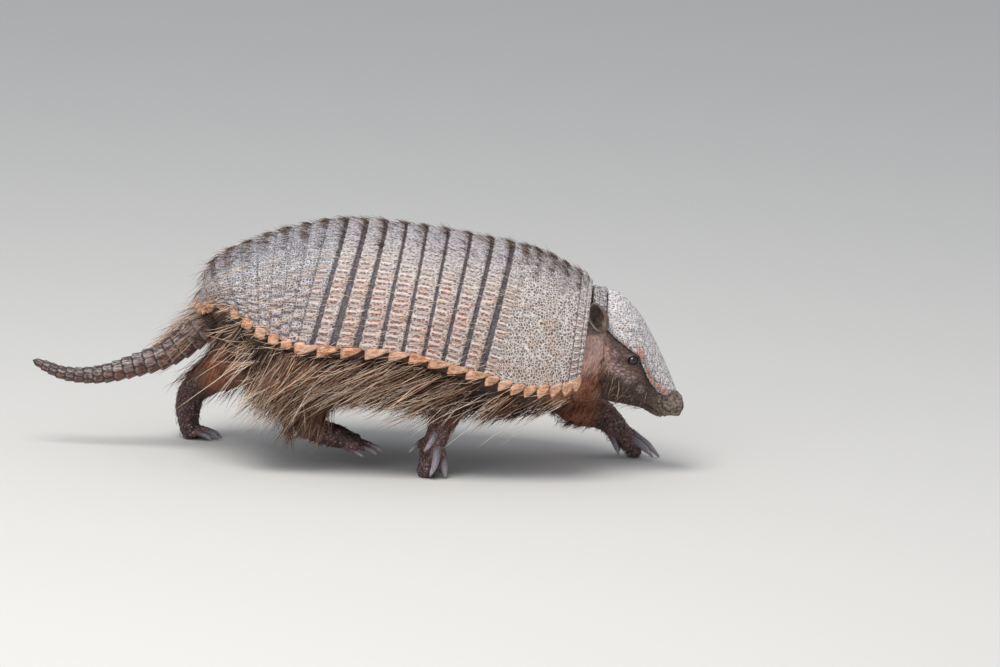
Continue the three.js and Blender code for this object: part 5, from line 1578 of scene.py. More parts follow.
def skin_colors(p, region, detail):
    """The skin's colour at each point."""
    x, _, z = p.T
    leg, along, toes, head = (region[key] for key in ("leg", "along", "toes", "head"))
    patchy = 0.5 + 0.5 * noise(p, 9.0, 31)
    sheen_patches = smoothstep(0.2, 0.9, 0.5 + 0.5 * noise(p, 5, 33))
    foot = leg * smoothstep(0.38, 0.6, along)
    spots, patch = warts(p)
    socket = 1 - smoothstep(5.0, 11.0, np.hypot(x - EYE[0], (z - EYE[2] - 2) * 1.2))
    brow = head_point(np.linspace(1, 7.8, 40), head_edge(np.linspace(1, 7.8, 40)))
    to_shield_shade, _ = line_distance(p[:, [0, 2]], brow[:, [0, 2]])
    to_eye = np.linalg.norm(from_eye(p), axis=1)
    layers = [
        ("thigh", leg * (1 - smoothstep(0.35, 0.55, along)) * (0.5 + 0.5 * patchy)),
        ("leg", foot),
        # the raised middles of the foot's scales paler and pinker in random patches: partly their own colour,
        # partly a painted highlight
        ("knob", foot * detail["scale"] * (0.25 + 0.5 * patchy) * sheen_patches),
        ("knob", toes * 0.75),
        ("dark", foot * (1 - detail["scale"]) * (0.7 - 0.3 * toes)),
        ("face", head),
        ("jaw", head * smoothstep(73, 65, z) * 0.9),
        ("snout", head * smoothstep(170, 184, x)),
        ("nose", head * smoothstep(189, 195, x) * 0.8),
        ("bed", head * smoothstep(96, 112, z) * 0.5),
        ("thigh", smoothstep(98, 112, x) * (z < 84) * (1 - leg) * (1 - head) * 0.8),
        ("jowl", jowl(p) * (0.55 + 0.45 * patchy)),
        ("jaw", head * socket * 0.6),
        ("spot", head * (0.3 + 0.7 * spots) * patch),
        # painted shade in the creases of the cheek
        ("dark", detail["crease"] * 0.6),
        ("dark", detail["mouth"] * 0.85),
        ("lid", detail["lid"] * 0.8),
        ("dark", detail["rim"] * 0.9),
        # painted shade along the lower edge of the head's shield, where it overhangs the face
        ("dark", head * 0.85 * (1 - smoothstep(0.8, 5.0, to_shield_shade))),
        # painted shade: the skin sunk behind the eye, inside its opening, made dark
        ("dark", detail["opening"]),
        ("dark", head * (1 - smoothstep(3.6, 5.4, to_eye)) * 0.5),
    ]
    # painted shade in the nostrils
    for side in (RIGHT, LEFT):
        hole = np.linalg.norm((p - NOSTRIL * [1, side, 1]) * [0.35, 1, 0.85], axis=1)
        layers.append(("dark", (1 - smoothstep(0.9, 1.8, hole)) * 0.9))
    layers.append(("ear", region["ear"]))
    color = paint(np.tile(TONE["belly"], (len(p), 1)), layers)
    color = color * (1 + 0.18 * noise(p, 2.4, 51) + 0.12 * noise(p, 0.9, 52))[:, None]
    return np.clip(color, 0, 1)


def skin_material():
    """Skin in the tones of its points, with pores, scales, short fur and the crust of the snout."""
    s = Shader("skin")
    tone = s.node("Attribute", attribute_name="tone").outputs["Color"]
    grain = s.noise(0.8, 4.0)
    pores = s.voronoi(0.95, feature="F1")
    scale = s.voronoi(1.5)
    plates = s.voronoi(2.6, s.place((1.0, 1.0, 0.8)))
    scaly = s.value("scaly")
    color = s.mix(s.ramp(grain, 0.3, 0.75, 0.0, 0.35), tone, s.mix(0.5, tone, srgb(0.62, 0.52, 0.45)))
    color = s.mix(s.ramp(scale, 0.03, 0.14, 0.35, 0.0), color, srgb(0.10, 0.07, 0.06))
    fur, coarse = s.value("fur"), s.value("coarse")
    stroke = {"Vector": s.place(), "Rotation": (0, 0.3, 0), "Scale": (1, 1, 8)}
    lie = s.node("Mapping", stroke, vector_type="TEXTURE")
    strand = s.ramp(s.noise(0.75, 3.0, lie.outputs[0]), 0.38, 0.6)
    pile = s.mix(strand, s.mix(0.42, tone, srgb(0.20, 0.11, 0.08)), s.mix(0.3, tone, srgb(0.95, 0.80, 0.72)))
    color = s.mix(s.times(fur, 0.85), color, pile)
    lump = s.ramp(s.noise(2.2, 5.0, rough=0.7), 0.36, 0.66)
    crust = s.mix(lump, s.mix(0.9, tone, srgb(0.07, 0.055, 0.05)), s.mix(0.5, tone, srgb(0.78, 0.69, 0.62)))
    color = s.mix(s.times(coarse, 0.8), color, crust)
    shine = s.times(scaly, s.ramp(plates, 0.12, 0.34), s.ramp(s.noise(5.0), 0.35, 0.65))
    color = s.mix(s.times(shine, 0.7), color, srgb(0.66, 0.53, 0.56))
    color = s.mix(s.times(scaly, s.ramp(plates, 0.02, 0.12, 0.7, 0.0)), color, srgb(0.09, 0.06, 0.06))
    height = s.math("ADD", s.times(s.ramp(scale, 0.0, 0.2), 0.8), s.times(pores, 0.5))
    height = s.math("ADD", height, s.times(scaly, s.ramp(plates, 0.02, 0.3), 2.0))
    height = s.math("ADD", height, s.times(grain, 0.6))
    height = s.math("ADD", height, s.math("ADD", s.times(strand, fur, 1.2), s.times(lump, coarse, 2.0)))
    rough = s.ramp(s.noise(5.0), 0.3, 0.7, 0.46, 0.66)
    return s.surface(color, rough, s.bump(height, 0.5, 0.35), Specular_IOR_Level=0.42)


def set_skin_values(mesh, color, **values):
    full = np.concatenate([np.clip(color, 0, 1), np.ones((len(color), 1))], 1)
    set_attribute(mesh, "tone", full, "FLOAT_COLOR", "color")
    for name, value in values.items():
        set_attribute(mesh, name, value)


def thin_out(mesh):
    """Leaves the skin coarser where the shell hides it."""
    p = read_points(mesh)
    x, _, z = p.T
    foot = np.interp(x, np.sort(SHELL[:, 3]), SHELL[np.argsort(SHELL[:, 3]), 4])
    hidden = (x > -118) & (x < 118) & (z > foot + 3)
    source = put_in_scene("skin_source", mesh)
    group = source.vertex_groups.new(name="hidden")
    group.add(np.nonzero(hidden)[0].tolist(), 1.0, "REPLACE")
    collapse = source.modifiers.new("collapse", "DECIMATE")
    collapse.ratio = 1 - 0.85 * hidden.mean()
    collapse.vertex_group = "hidden"
    return with_modifiers(source)


def ear_skin():
    """Both ears in their colours and painted shade: the cup darkened as shade, its ridge and its pale rim."""
    ears = Build()
    for side in (RIGHT, LEFT):
        ears.add(*ear_loft(side))
    mesh = ears.mesh("ear_skin")
    q = read_points(mesh)
    # for each point, ring by ring with the two ends last: how near the rim, in the cup or not, round where
    nearness = np.append(np.linspace(0, 1, EAR_OUTER), np.linspace(1, 0, EAR_CUP))
    inside = np.append(np.zeros(EAR_OUTER), np.ones(EAR_CUP))
    step = np.tile(np.append(np.repeat(nearness, EAR_SIDES), [0, 0]), 2)
    cup = np.tile(np.append(np.repeat(inside, EAR_SIDES), [0, 1]), 2)
    each = np.arange(EAR_SIDES) / EAR_SIDES * 2 * math.pi
    turn = np.tile(np.append(np.tile(each, EAR_OUTER + EAR_CUP), [0, 0]), 2)
    low_rear = smoothstep(139, 134, q[:, 0]) * smoothstep(120, 110, q[:, 2])
    shaded = 1 - 0.75 * smoothstep(137.3, 139.5, q[:, 0])
    ridge = np.exp(-(((turn - EAR_FOLD) / 0.35) ** 2)) * cup * smoothstep(0.1, 0.5, step)
    layers = [
        ("face", 1 - smoothstep(0.15, 0.5, step)),
        ("ear_rim", smoothstep(0.78, 0.97, step) * (0.05 + 0.95 * low_rear)),
        ("face", smoothstep(138, 142, q[:, 0]) * (1 - cup * 0.5) * 0.8),
        # painted shade deep in the cup, lighter towards its front
        ("dark", cup * (1 - smoothstep(0.2, 0.95, step)) * 0.95 * shaded),
        ("ear_rim", ridge * 0.45),
    ]
    color = paint(np.tile(TONE["ear"], (len(q), 1)), layers)
    color = color * (1 + 0.2 * noise(q, 2.0, 61) + 0.12 * noise(q, 0.8, 62))[:, None]
    blank = np.zeros(len(q))
    set_skin_values(mesh, color, scaly=blank, fur=blank, coarse=blank + 0.3)
    return mesh


def flesh_parts():
    """The overlapping parts that the skin is drawn over."""
    parts = [torso_loft(), neck_loft(), head_loft()]
    for leg in LEGS.values():
        for length, shrink in (("upper", 0.3), ("lower", 0.2)):
            parts.append(limb(leg[length], sides=32, steps=10, shrink=shrink, start_cap=0.6, end_cap=0.6))
        parts += [sphere(centre, radius - 0.3) for centre, radius in leg["pads"]]
        for knuckle, root, middle, _, size in leg["claws"]:
            parts.append(toe(knuckle, root, middle, size, leg["radius"]))
    for s in (RIGHT, LEFT):
        socket = EYE * [1, s, 1] + [0, 1.6 * s, 0]
        parts.append(torus(socket, [0.3, s, 0.1], ring=4.4, thick=1.35, stretch=1.2))
    return parts


def skin():
    """The one skin over the body, neck, head, ears and legs."""
    mesh = thin_out(voxel_skin(flesh_parts(), 1.05 if FINE else 1.5))
    p = read_points(mesh)
    region = skin_regions(p)
    if FINE:
        visible = region["head"] * (1 - (np.abs(p[:, 1]) < 20) * (p[:, 2] > 100))
        refine(mesh, (visible > 0.4) & (p[:, 0] > 141))
        p = read_points(mesh)
        region = skin_regions(p)
    p, detail = form_skin(p, read_vertices(mesh, "normal"), region)
    p[:, 2] = np.maximum(p[:, 2], 0.0)
    write_points(mesh, p)
    coarse = region["head"] * smoothstep(174, 186, p[:, 0])
    limbs = region["leg"] * (1 - smoothstep(0.3, 0.5, region["along"]))
    fur = np.maximum(jowl(p), 0.8 * np.maximum(limbs, p[:, 0] > 104)) * (1 - region["toes"])
    fur = np.where(region["head"] * (1 - jowl(p)) > 0.5, 0, fur)
    set_skin_values(mesh, skin_colors(p, region, detail), scaly=detail["scaly"], fur=fur, coarse=coarse)
    mesh.polygons.foreach_set("use_smooth", np.ones(len(mesh.polygons), bool))
    whole = bmesh.new()
    whole.from_mesh(mesh)
    whole.from_mesh(ear_skin())
    whole.to_mesh(mesh)
    whole.free()
    flesh = ["torso", "head", "neck", "ear_left", "ear_right"]
    flesh += [f"{leg}_{part}" for leg in LEGS for part in ("upper", "foot")]
    piece("skin", mesh, skin_material(), flesh)
    return mesh


skin_mesh = skin()

# ---------------------------------------------------------------- coat
BAKE_PATCH = 0.003  # the size of one strand on the coat's flat map
FLAT_START, FLAT_LENGTH = -265, 475  # the x where the flat map begins, and how long a body it holds
FOOT_MIDDLES = np.array([-50.0, -135.0, 30.0, 150.0])  # x of the right and left hind and fore feet
# where the hanging hair of the flanks ends, x and z
HAIR_HEM = np.array(
    [
        (-130, 62), (-112, 40), (-96, 30), (-87.5, 27), (-70, 25), (-52, 34), (-44.8, 39.6), (-30.8, 43.9),
        (-8.4, 44.5), (9.1, 37), (28, 34), (48.3, 33), (67.2, 37.5), (86.1, 44.8), (98.7, 48.3), (120, 50),
    ]
)
# how steeply it falls back, in degrees below the level, by x
HAIR_FALL = np.array(
    [(-130, 50), (-100, 66), (-84, 66), (-60, 58), (-45, 44), (-20, 31), (30, 30), (70, 38), (110, 42)]
)


def unwrap(p):
    """The place of skin points on a flat map: the body rolled out, with the legs in a strip below."""
    x, y, z = p.T
    near, leg = leg_distance(p)
    turn = np.arctan2(y, z - 80) / (2 * math.pi) + 0.5
    u = np.clip((x - FLAT_START) / FLAT_LENGTH, 0.01, 0.99)
    v = 0.3 + 0.68 * turn
    low = (near < 3) & (leg > 0.3) & (z < 62)
    block = (x > 0).astype(int) * 2 + (y > 0)
    around = np.arctan2(y - np.sign(y) * 50, x - FOOT_MIDDLES[block]) / (2 * math.pi) + 0.5
    return np.where(low, 0.02 + 0.24 * block + 0.22 * around, u), np.where(low, 0.02 + 0.26 * z / 62, v)


def clear_of_legs(p, gap=1.0):
    """Moves points that are inside a leg out to its outer side."""
    side = np.sign(p[:, 1])
    for leg in LEGS.values():
        line, widths, depths = leg_line(leg)
        for k in range(len(line) - 1):
            a, b = line[k], line[k + 1]
            t, off = along_segment(p, a, b)
            wide, deep = lerp(widths[k], widths[k + 1], t) + gap, lerp(depths[k], depths[k + 1], t) + gap
            reach = np.hypot(off[:, 0], off[:, 2])
            inside = (reach < deep) & (np.abs(off[:, 1]) < wide) & (np.sign(a[1]) == side)
            edge = wide * np.sqrt(np.maximum(1 - (reach / deep) ** 2, 0))
            target = a[1] + t * (b - a)[1] + side * edge
            moved = np.where(side > 0, np.maximum(p[:, 1], target), np.minimum(p[:, 1], target))
            p[:, 1] = np.where(inside, moved, p[:, 1])
    return p


def coat(name, roots, first, last, length, width, seed, strands=5, rings=5, spread=1.2, wander=0.07,
         tint=(0, 1), dark=0.0, bend=1.0, clear=False, clump=0.6, ripe=0.0):
    """Grows tufts of thin tapered strands. first and last are the ways that a tuft points at its root
    and at its tip; length, width and dark are one number or one for each tuft. ripe is how far its
    colour is along from a dark root to a pale tip where it leaves the skin."""
    draw = np.random.default_rng(seed)
    count = len(roots)
    s = np.linspace(0, 1, rings + 1)
    ways = unit(lerp(first[:, None], last[:, None], (s[None, :] ** bend)[..., None]))
    steps = (ways[:, :-1] + ways[:, 1:]) / 2
    path = np.concatenate([np.zeros((count, 1, 3)), np.cumsum(steps, 1)], 1) / rings
    path = np.repeat(path, strands, 0)
    total = count * strands
    long = np.repeat(np.broadcast_to(length, count), strands) * draw.uniform(0.72, 1.08, total)
    path = path * long[:, None, None]
    offset = draw.normal(0, 1, (total, 3)) * spread
    away = draw.normal(0, 1, (total, 3)) * (wander * long)[:, None]
    swing = draw.normal(0, 1, (total, 3)) * (wander * 0.4 * long)[:, None]
    path += np.repeat(roots, strands, 0)[:, None]
    path += offset[:, None] * (1 - clump * s)[None, :, None]
    path += away[:, None] * (s**1.6)[None, :, None]
    path += swing[:, None] * np.sin(s * math.pi * 1.6)[None, :, None]
    if clear:
        path = clear_of_legs(path.reshape(-1, 3)).reshape(path.shape)
    path[..., 2] = np.maximum(path[..., 2], 0.4)
    along = unit(np.gradient(path, axis=1))
    right = unit(np.cross(along, np.array([0.13, 0.21, 0.97])))
    up = np.cross(along, right)
    thick = np.repeat(np.broadcast_to(width, count), strands) * draw.uniform(0.75, 1.2, total)
    profile = np.interp(s[:-1], [0, 0.15, 0.6, 1], [0.8, 1.0, 0.85, 0.2])
    r = thick[:, None] * profile[None, :] / 2
    a = np.arange(3) / 3 * 2 * math.pi
    wide, high = r[..., None] * np.cos(a), r[..., None] * np.sin(a)
    ring = rings_round(path[:, :-1], right[:, :-1], up[:, :-1], wide, high)
    each = rings * 3 + 1
    points = np.concatenate([ring.reshape(total, rings * 3, 3), path[:, -1:]], 1).reshape(-1, 3)
    i, j = np.meshgrid(np.arange(rings - 1), np.arange(3), indexing="ij")
    k = (j + 1) % 3
    quads = np.stack([i * 3 + j, i * 3 + k, (i + 1) * 3 + k, (i + 1) * 3 + j], -1).reshape(-1, 4)
    end = (rings - 1) * 3
    tip = each - 1
    tris = np.array([[end, end + 1, tip], [end + 1, end + 2, tip], [end + 2, end, tip], [2, 1, 0]])
    base = (np.arange(total) * each)[:, None, None]
    faces = ((quads[None] + base).reshape(-1, 4), (tris[None] + base).reshape(-1, 3))
    tints = np.repeat(draw.uniform(*tint, count), strands) + draw.normal(0, 0.06, total)
    level = np.concatenate([np.repeat(s[:-1], 3), [1.0]])
    b = Build()
    b.add(
        points,
        faces,
        along=np.tile(lerp(ripe, 1, level), total),
        tint=np.repeat(tints, each),
        dark=np.repeat(np.broadcast_to(dark, count), strands * each),
    )
    mesh = b.mesh(name)
    u, v = (np.repeat(place, strands * each) for place in unwrap(roots))
    u = u + np.tile(np.append(np.tile([0, 0.5, 1.0], rings), 0.5), total) * BAKE_PATCH
    v = v + np.tile(level, total) * BAKE_PATCH
    layer = mesh.uv_layers.new(name="OFBake")
    index = np.empty(len(mesh.loops), np.int32)
    mesh.loops.foreach_get("vertex_index", index)
    layer.data.foreach_set("uv", np.stack([u[index], v[index]], -1).astype(np.float32).ravel())
    piece(name, mesh, HAIR_MATERIAL)


def hair_material():
    """Hair that goes from a dark root over brown to a paler tip. tint makes it paler, dark darker."""
    s = Shader("hair")
    along, tint, dark = s.value("along"), s.value("tint"), s.value("dark")
    shade = s.mix(s.ramp(tint, 0.35, 0.9), srgb(0.42, 0.22, 0.13), srgb(1.0, 0.86, 0.73))
    shade = s.mix(s.ramp(tint, 1.3, 1.6), shade, srgb(1.0, 0.94, 0.87))
    shade = s.mix(s.ramp(s.noise(14.0), 0.42, 0.62, 0.0, 0.3), shade, srgb(0.64, 0.40, 0.27))
    color = s.mix(s.ramp(along, 0.0, 0.3), srgb(0.26, 0.16, 0.11), shade)
    color = s.mix(s.ramp(along, 0.6, 1.0, 0.0, 0.3), color, srgb(0.92, 0.81, 0.69))
    # the dark of darkened hair: partly its own dark brown, partly painted shade deep in the coat
    deep = s.mix(s.ramp(along, 0.3, 1.0), srgb(0.10, 0.05, 0.035), srgb(0.27, 0.135, 0.085))
    color = s.mix(dark, color, deep)
    return s.surface(color, 0.5, None, Specular_IOR_Level=0.35)


HAIR_MATERIAL = hair_material()


def table(stations, at):
    """A value read off between stations."""
    return np.interp(at, stations[:, 0], stations[:, 1])


# how thick the hair of the flank is, by x
HAIR_THICK = np.array(
    [(-130, 0.03), (-104, 0.08), (-92, 0.35), (-80, 1), (20, 1), (45, 0.7), (62, 0.25), (115, 0.15)]
)
EDGE_OUT, EDGE_UP = 6.5, 4.0  # from the top of the flank to just inside the shell's edge


def flank_roots(draw, count, reach, side, edge=0.0, least=0.0):
    """Roots on the flank, from under the margin down, thinned out where the hair is thin. edge moves
    them out to just inside the shell's edge (1); least is the smallest share kept ahead of the rump."""
    row = draw.uniform(0.9, 22.6, count)
    turn = 0.01 + reach * draw.uniform(0, 1, count) ** 1.3
    roots = flank_point(row, turn if side == LEFT else math.pi - turn, EDGE_OUT * edge)
    roots[:, 2] += EDGE_UP * edge
    least = least * (roots[:, 0] > -85)
    return roots[draw.uniform(0, 1, count) < np.maximum(table(HAIR_THICK, roots[:, 0]), least)]


# The layers of the flank's hair: dark hair next to the skin, made near-black as painted shade deep in the
# coat, brown locks over it, single pale strands, and a fringe just inside the shell's edge.
FLANK_LAYERS = (
    dict(name="coat_flank", seed=70, count=850, reach=1.1, share=0.8, width=0.42, strands=5,
         dark=(0.75, 1), tint=(0, 0.5), clump=0.6, wander=0.08, ripe=0),
    dict(name="coat_locks", seed=170, count=350, reach=0.4, share=1.0, width=0.42, strands=3,
         dark=(0.2, 0.85), tint=(0, 0.7), clump=0.4, wander=0.07, ripe=0.2),
    dict(name="coat_streaks", seed=370, count=360, reach=0.4, share=0.95, width=0.56, strands=2,
         dark=(0, 0.1), tint=(1.15, 1.7), clump=0.2, wander=0.08, ripe=0.3),
    dict(name="coat_fringe", seed=270, count=400, reach=0.03, share=0.8, width=0.46, strands=2,
         dark=(0, 0.7), tint=(0, 1.5), clump=0.3, wander=0.07, ripe=0.3, edge=1.0),
)


def flank_layer(side, name, seed, count, reach, share, width, dark, edge=0.0, **more):
    """One layer of the hair that hangs from the flank. share is how much of the fall to the hem it
    covers."""
    draw = np.random.default_rng(seed + side)
    roots = flank_roots(draw, count if FINE else count // 2, reach, side, edge)
    x = roots[:, 0]
    fall = np.radians(table(HAIR_FALL, x) + draw.normal(0, 8, len(x)))
    last = np.stack([-np.cos(fall), -0.06 * side + 0 * fall, -np.sin(fall)], -1)
    out = np.stack([0 * x - 0.15, side * draw.uniform(0.1, 0.35, len(x)), 0 * x], -1)
    drop = np.maximum(roots[:, 2] - table(HAIR_HEM, x - 28), 6)
    length = np.clip(drop / np.sin(fall) * draw.uniform(0.8, 1.1, len(x)) * share, 12, 66)
    # painted shade: the hair is made darker towards the rump, between the tail and the thigh
    darkness = np.minimum(draw.uniform(*dark, len(x)) + 0.55 * smoothstep(-74, -94, x), 1)
    coat(name, roots, unit(last * 0.9 + out), last, length, width, seed + 10 + side,
         clear=True, bend=0.5, dark=darkness, **more)


def guard_hair(side, label):
    """Long pale single hairs that stand out from the flanks."""
    draw = np.random.default_rng(80 + side)
    roots = flank_roots(draw, 230 if FINE else 115, 0.3, side, least=0.3)
    count = len(roots)
    fall = np.radians(table(HAIR_FALL, roots[:, 0]) - 16 + draw.normal(0, 12, count))
    last = np.stack([-np.cos(fall), draw.normal(-0.05, 0.06, count) * side, -np.sin(fall)], -1)
    first = unit(last * 0.8 + np.array([-0.2, 0.25 * side, -0.15]))
    coat(f"coat_guard_{label}", roots, first, last, draw.uniform(36, 66, count), width=0.44,
         seed=810 + side, strands=1, tint=(1.3, 2.0), clear=True, bend=0.6, wander=0.06, ripe=0.4, rings=7)


skin_points = read_points(skin_mesh)
skin_normals = read_vertices(skin_mesh, "normal")
skin_parts = skin_regions(skin_points)


def lying(normals, flow, lift):
    """The way of a hair that lies along the skin, lifted a little."""
    flow = np.broadcast_to(np.asarray(flow, float), normals.shape)
    flat = unit(flow - normals * np.einsum("ij,ij->i", flow, normals)[:, None])
    return unit(flat + normals * np.asarray(lift)[..., None])


def skin_hair(name, seed, weight, count, flow, lift, sag, length, width, **more):
    """Hair rooted at random on the skin, as likely as the weights. It lies along flow, lifted a little,
    and sag is how far it turns down to its tip."""
    draw = np.random.default_rng(seed)
    weight = np.maximum(weight, 0)
    at = draw.choice(len(weight), count if FINE else count // 2, p=weight / weight.sum())
    p, n = skin_points[at], skin_normals[at]
    first = lying(n, flow, np.full(len(at), lift))
    last = unit(first + np.array([0, 0, -1.0]) * sag + np.asarray(flow) * 0.3)
    coat(name, p - n * 0.3, first, last, draw.uniform(*length, len(at)), width, seed + 1, **more)


def side_hair(side, label):
    """The flank's layers and the hair of one side's legs."""
    x, y, z = skin_points.T
    nx, ny, _ = skin_normals.T
    leg, along = skin_parts["leg"] * (np.sign(y) == side), skin_parts["along"]
    for layer in FLANK_LAYERS:
        flank_layer(side, **dict(layer, name=f"{layer['name']}_{label}"))
    guard_hair(side, label)
    near = side == RIGHT
    outer = smoothstep(-0.5, 0.1, ny * np.sign(y) - nx * 0.6)
    thigh = leg * (x < -40) * smoothstep(0.50, 0.36, along) * outer * (z < 88)
    count, flow, tint = (240, (-0.52, 0, -0.85), (0, 0.8)) if near else (60, (-0.6, 0, -0.8), (0, 0.4))
    skin_hair(f"coat_thigh_{label}", 91 + side, thigh, count, flow, lift=0.35, sag=0.5,
              length=(18, 34), width=0.4, strands=4, dark=0.5, tint=tint)
    arm = leg * (x > 20) * smoothstep(0.5, 0.3, along) * (z < 70)
    skin_hair(f"coat_arm_{label}", 95 + side, arm, 300, (-0.6, 0, -0.8), lift=0.25, sag=0.3,
              length=(5, 13), width=0.32, strands=3, dark=0.2, tint=(0, 0.5))
    shin = leg * smoothstep(0.36, 0.5, along) * smoothstep(0.93, 0.8, along)
    skin_hair(f"coat_shin_{label}", 101 + side, shin, 620, (-0.45, 0, -0.9), lift=0.3, sag=0.1,
              length=(2.5, 6), width=0.24, strands=2, rings=3, spread=0.6, tint=(0, 0.6), dark=0.35)


def body_hair():
    """Short hair of the belly, chest, rump, face, throat and cheek."""
    x, y, z = skin_points.T
    nx, _, nz = skin_normals.T
    leg, bare = skin_parts["leg"], 1 - skin_parts["ear"]
    below = (1 - leg) * (x < 128) * (x > -128) * smoothstep(0.1, -0.5, nz) * (z < 75)
    chest = (x > 108) * (x < 142) * (z < 84) * (nz < 0.3) * (1 - leg)
    rump = (x < -112) * (z < 110) * (nx < 0.2) * (1 - leg * (z < 50))
    head = skin_parts["head"] * bare * (np.hypot(x - EYE[0], z - EYE[2]) > 7)
    under = np.abs(np.degrees(np.arctan2(np.abs(y), z - 80))) > 75
    belly = below * (x < 60) + below * 0.3
    skin_hair("coat_belly", 111, belly, 600, (-0.85, 0, -0.5), lift=0.3, sag=0.25,
              length=(12, 24), width=0.45, strands=4, tint=(0, 0.7), dark=0.5)
    skin_hair("coat_chest", 113, chest, 200, (-0.6, 0, -0.8), lift=0.2, sag=0.3,
              length=(4, 9), width=0.3, strands=4, tint=(0, 0.5), dark=0.1)
    # painted shade: the rump's hair between the tail and the thighs is made mostly dark
    skin_hair("coat_rump", 115, rump, 170, (-0.8, 0, -0.6), lift=0.3, sag=0.5,
              length=(10, 28), width=0.36, strands=2, tint=(0.1, 1.1), dark=0.8, wander=0.14)
    face = head * under * (x < 192) * (x > 144)
    throat = head * smoothstep(0.1, -0.4, nz) * (x < 172)
    cheek = jowl(skin_points) * bare
    skin_hair("coat_face", 117, face, 1500, (-0.9, 0, -0.35), lift=0.35, sag=0.1,
              length=(1.4, 2.8), width=0.13, strands=1, rings=3, spread=0.2, tint=(0.1, 0.9), dark=0.5)
    skin_hair("coat_throat", 119, throat, 90, (-0.8, 0, -0.6), lift=0.4, sag=0.5,
              length=(5, 11), width=0.2, strands=2, spread=0.8, tint=(0.2, 0.9), dark=0.3)
    skin_hair("coat_cheek", 121, cheek, 1500, (-0.3, 0, -1.0), lift=0.12, sag=0.1, length=(2.5, 5.5),
              width=0.17, strands=1, rings=3, spread=0.2, tint=(0.4, 1.3), ripe=0.5, wander=0.05)


def bristles():
    """Long pale bristles that hang from the cheek."""
    draw = np.random.default_rng(151)
    places = ((147, 66), (149.5, 69), (151, 65), (153.5, 68), (154.5, 63.5), (157, 67), (171, 58), (174, 60))
    roots = []
    for side in (RIGHT, LEFT):
        near = skin_points[skin_points[:, 1] * side > 6]
        roots += [near[np.argmin(np.hypot(near[:, 0] - x, near[:, 2] - z))] for x, z in places]
    roots = np.array(roots)
    count = len(roots)
    side = np.sign(roots[:, 1])
    last = unit(np.stack([draw.normal(-0.12, 0.1, count), 0.05 * side, -np.ones(count)], -1))
    first = unit(last + np.stack([0 * side, 0.7 * side, 0 * side], -1))
    coat("coat_bristles", roots, first, last, draw.uniform(10, 17, count), width=0.2, seed=152, strands=1,
         bend=0.5, tint=(0.5, 1.0), wander=0.05, spread=0.3, ripe=0.3)


def rump_hair():
    """Long pale hairs that cross each other between the tail and the thighs."""
    draw = np.random.default_rng(161)
    count = 90 if FINE else 60
    row = draw.uniform(0.6, 5.5, count)
    side = draw.choice([-1.0, 1.0], count)
    turn = draw.uniform(0.02, 0.3, count)
    roots = flank_point(row, np.where(side > 0, turn, math.pi - turn))
    swing = draw.normal(0, 0.55, count)
    first = unit(np.stack([-0.5 + swing, 0.5 * side, -0.3 + 0 * row], -1))
    last = unit(np.stack([-0.75 - 0.3 * swing, 0.02 * side, draw.normal(-0.35, 0.4, count)], -1))
    coat("coat_rump_long", roots, first, last, draw.uniform(18, 40, count), width=0.42, seed=162,
         strands=1, rings=7, bend=0.9, tint=(0.6, 1.2), wander=0.1, ripe=0.3, clear=True)


def shell_tufts(name, draw, row, across, flow, lifts, length, width, seed, strands, dark=0.0, **more):
    """Hair rooted on the shell. lifts are the ranges of how far it stands up at its root and its tip."""
    count = len(row)
    n = shell_normal(row, across)
    first, last = (lying(n, flow, draw.uniform(*lift, count)) for lift in lifts)
    long = draw.uniform(*length, count)
    dark = draw.uniform(*dark, count) if isinstance(dark, tuple) else dark
    roots = shell_point(row, across, np.full(count, 0.2))
    coat(name, roots, first, last, long, width, seed, strands, rings=4, dark=dark, **more)


def shell_hair():
    """Sparse hairs that grow from between the scutes and lie back over the shell."""
    draw = np.random.default_rng(131)
    scale = 1.0 if FINE else 0.5
    # dark ones along the back, most of them at the hinges
    count = int(2000 * scale)
    row = draw.uniform(2, 22.8, count)
    row = np.where(draw.uniform(0, 1, count) < 0.6, np.floor(row) + draw.normal(0.04, 0.07, count), row)
    across = draw.normal(0, 0.2, count)
    shell_tufts("coat_back", draw, row, across, (-1, 0, 0), lifts=((0.3, 0.9), (-0.05, 0.25)),
                length=(4, 9), width=0.22, seed=132, strands=2, dark=(0.65, 1), spread=0.9, wander=0.1)
    # pale ones over the flanks of the bands
    count = int(1100 * scale)
    row = np.floor(draw.uniform(2, 22, count)) + draw.normal(0.03, 0.08, count)
    across = draw.choice([-1, 1], count) * draw.uniform(0.2, 0.99, count) ** 0.6
    flow = np.stack([-np.ones(count), 0 * row, -0.25 + draw.normal(0, 0.2, count)], -1)
    shell_tufts("coat_bands", draw, row, across, flow, lifts=((0.15, 0.4), (-0.02, 0.1)),
                length=(8, 24), width=0.24, seed=134, strands=1, spread=0.4, tint=(0.7, 1.6), wander=0.09)
    # tan ones at the rump, standing back from the rim
    count = int(200 * scale)
    row = 4 * draw.uniform(0, 1, count) ** 1.6
    across = draw.uniform(-0.9, 0.9, count)
    flow = np.stack([-np.ones(count), 0 * row, -0.3 + draw.normal(0, 0.3, count)], -1)
    shell_tufts("coat_rump_shell", draw, row, across, flow, lifts=((0.2, 0.7), (0.0, 0.4)), length=(8, 18),
                width=0.2, seed=136, strands=2, dark=0.4, spread=0.8, tint=(0.0, 0.8), wander=0.12)


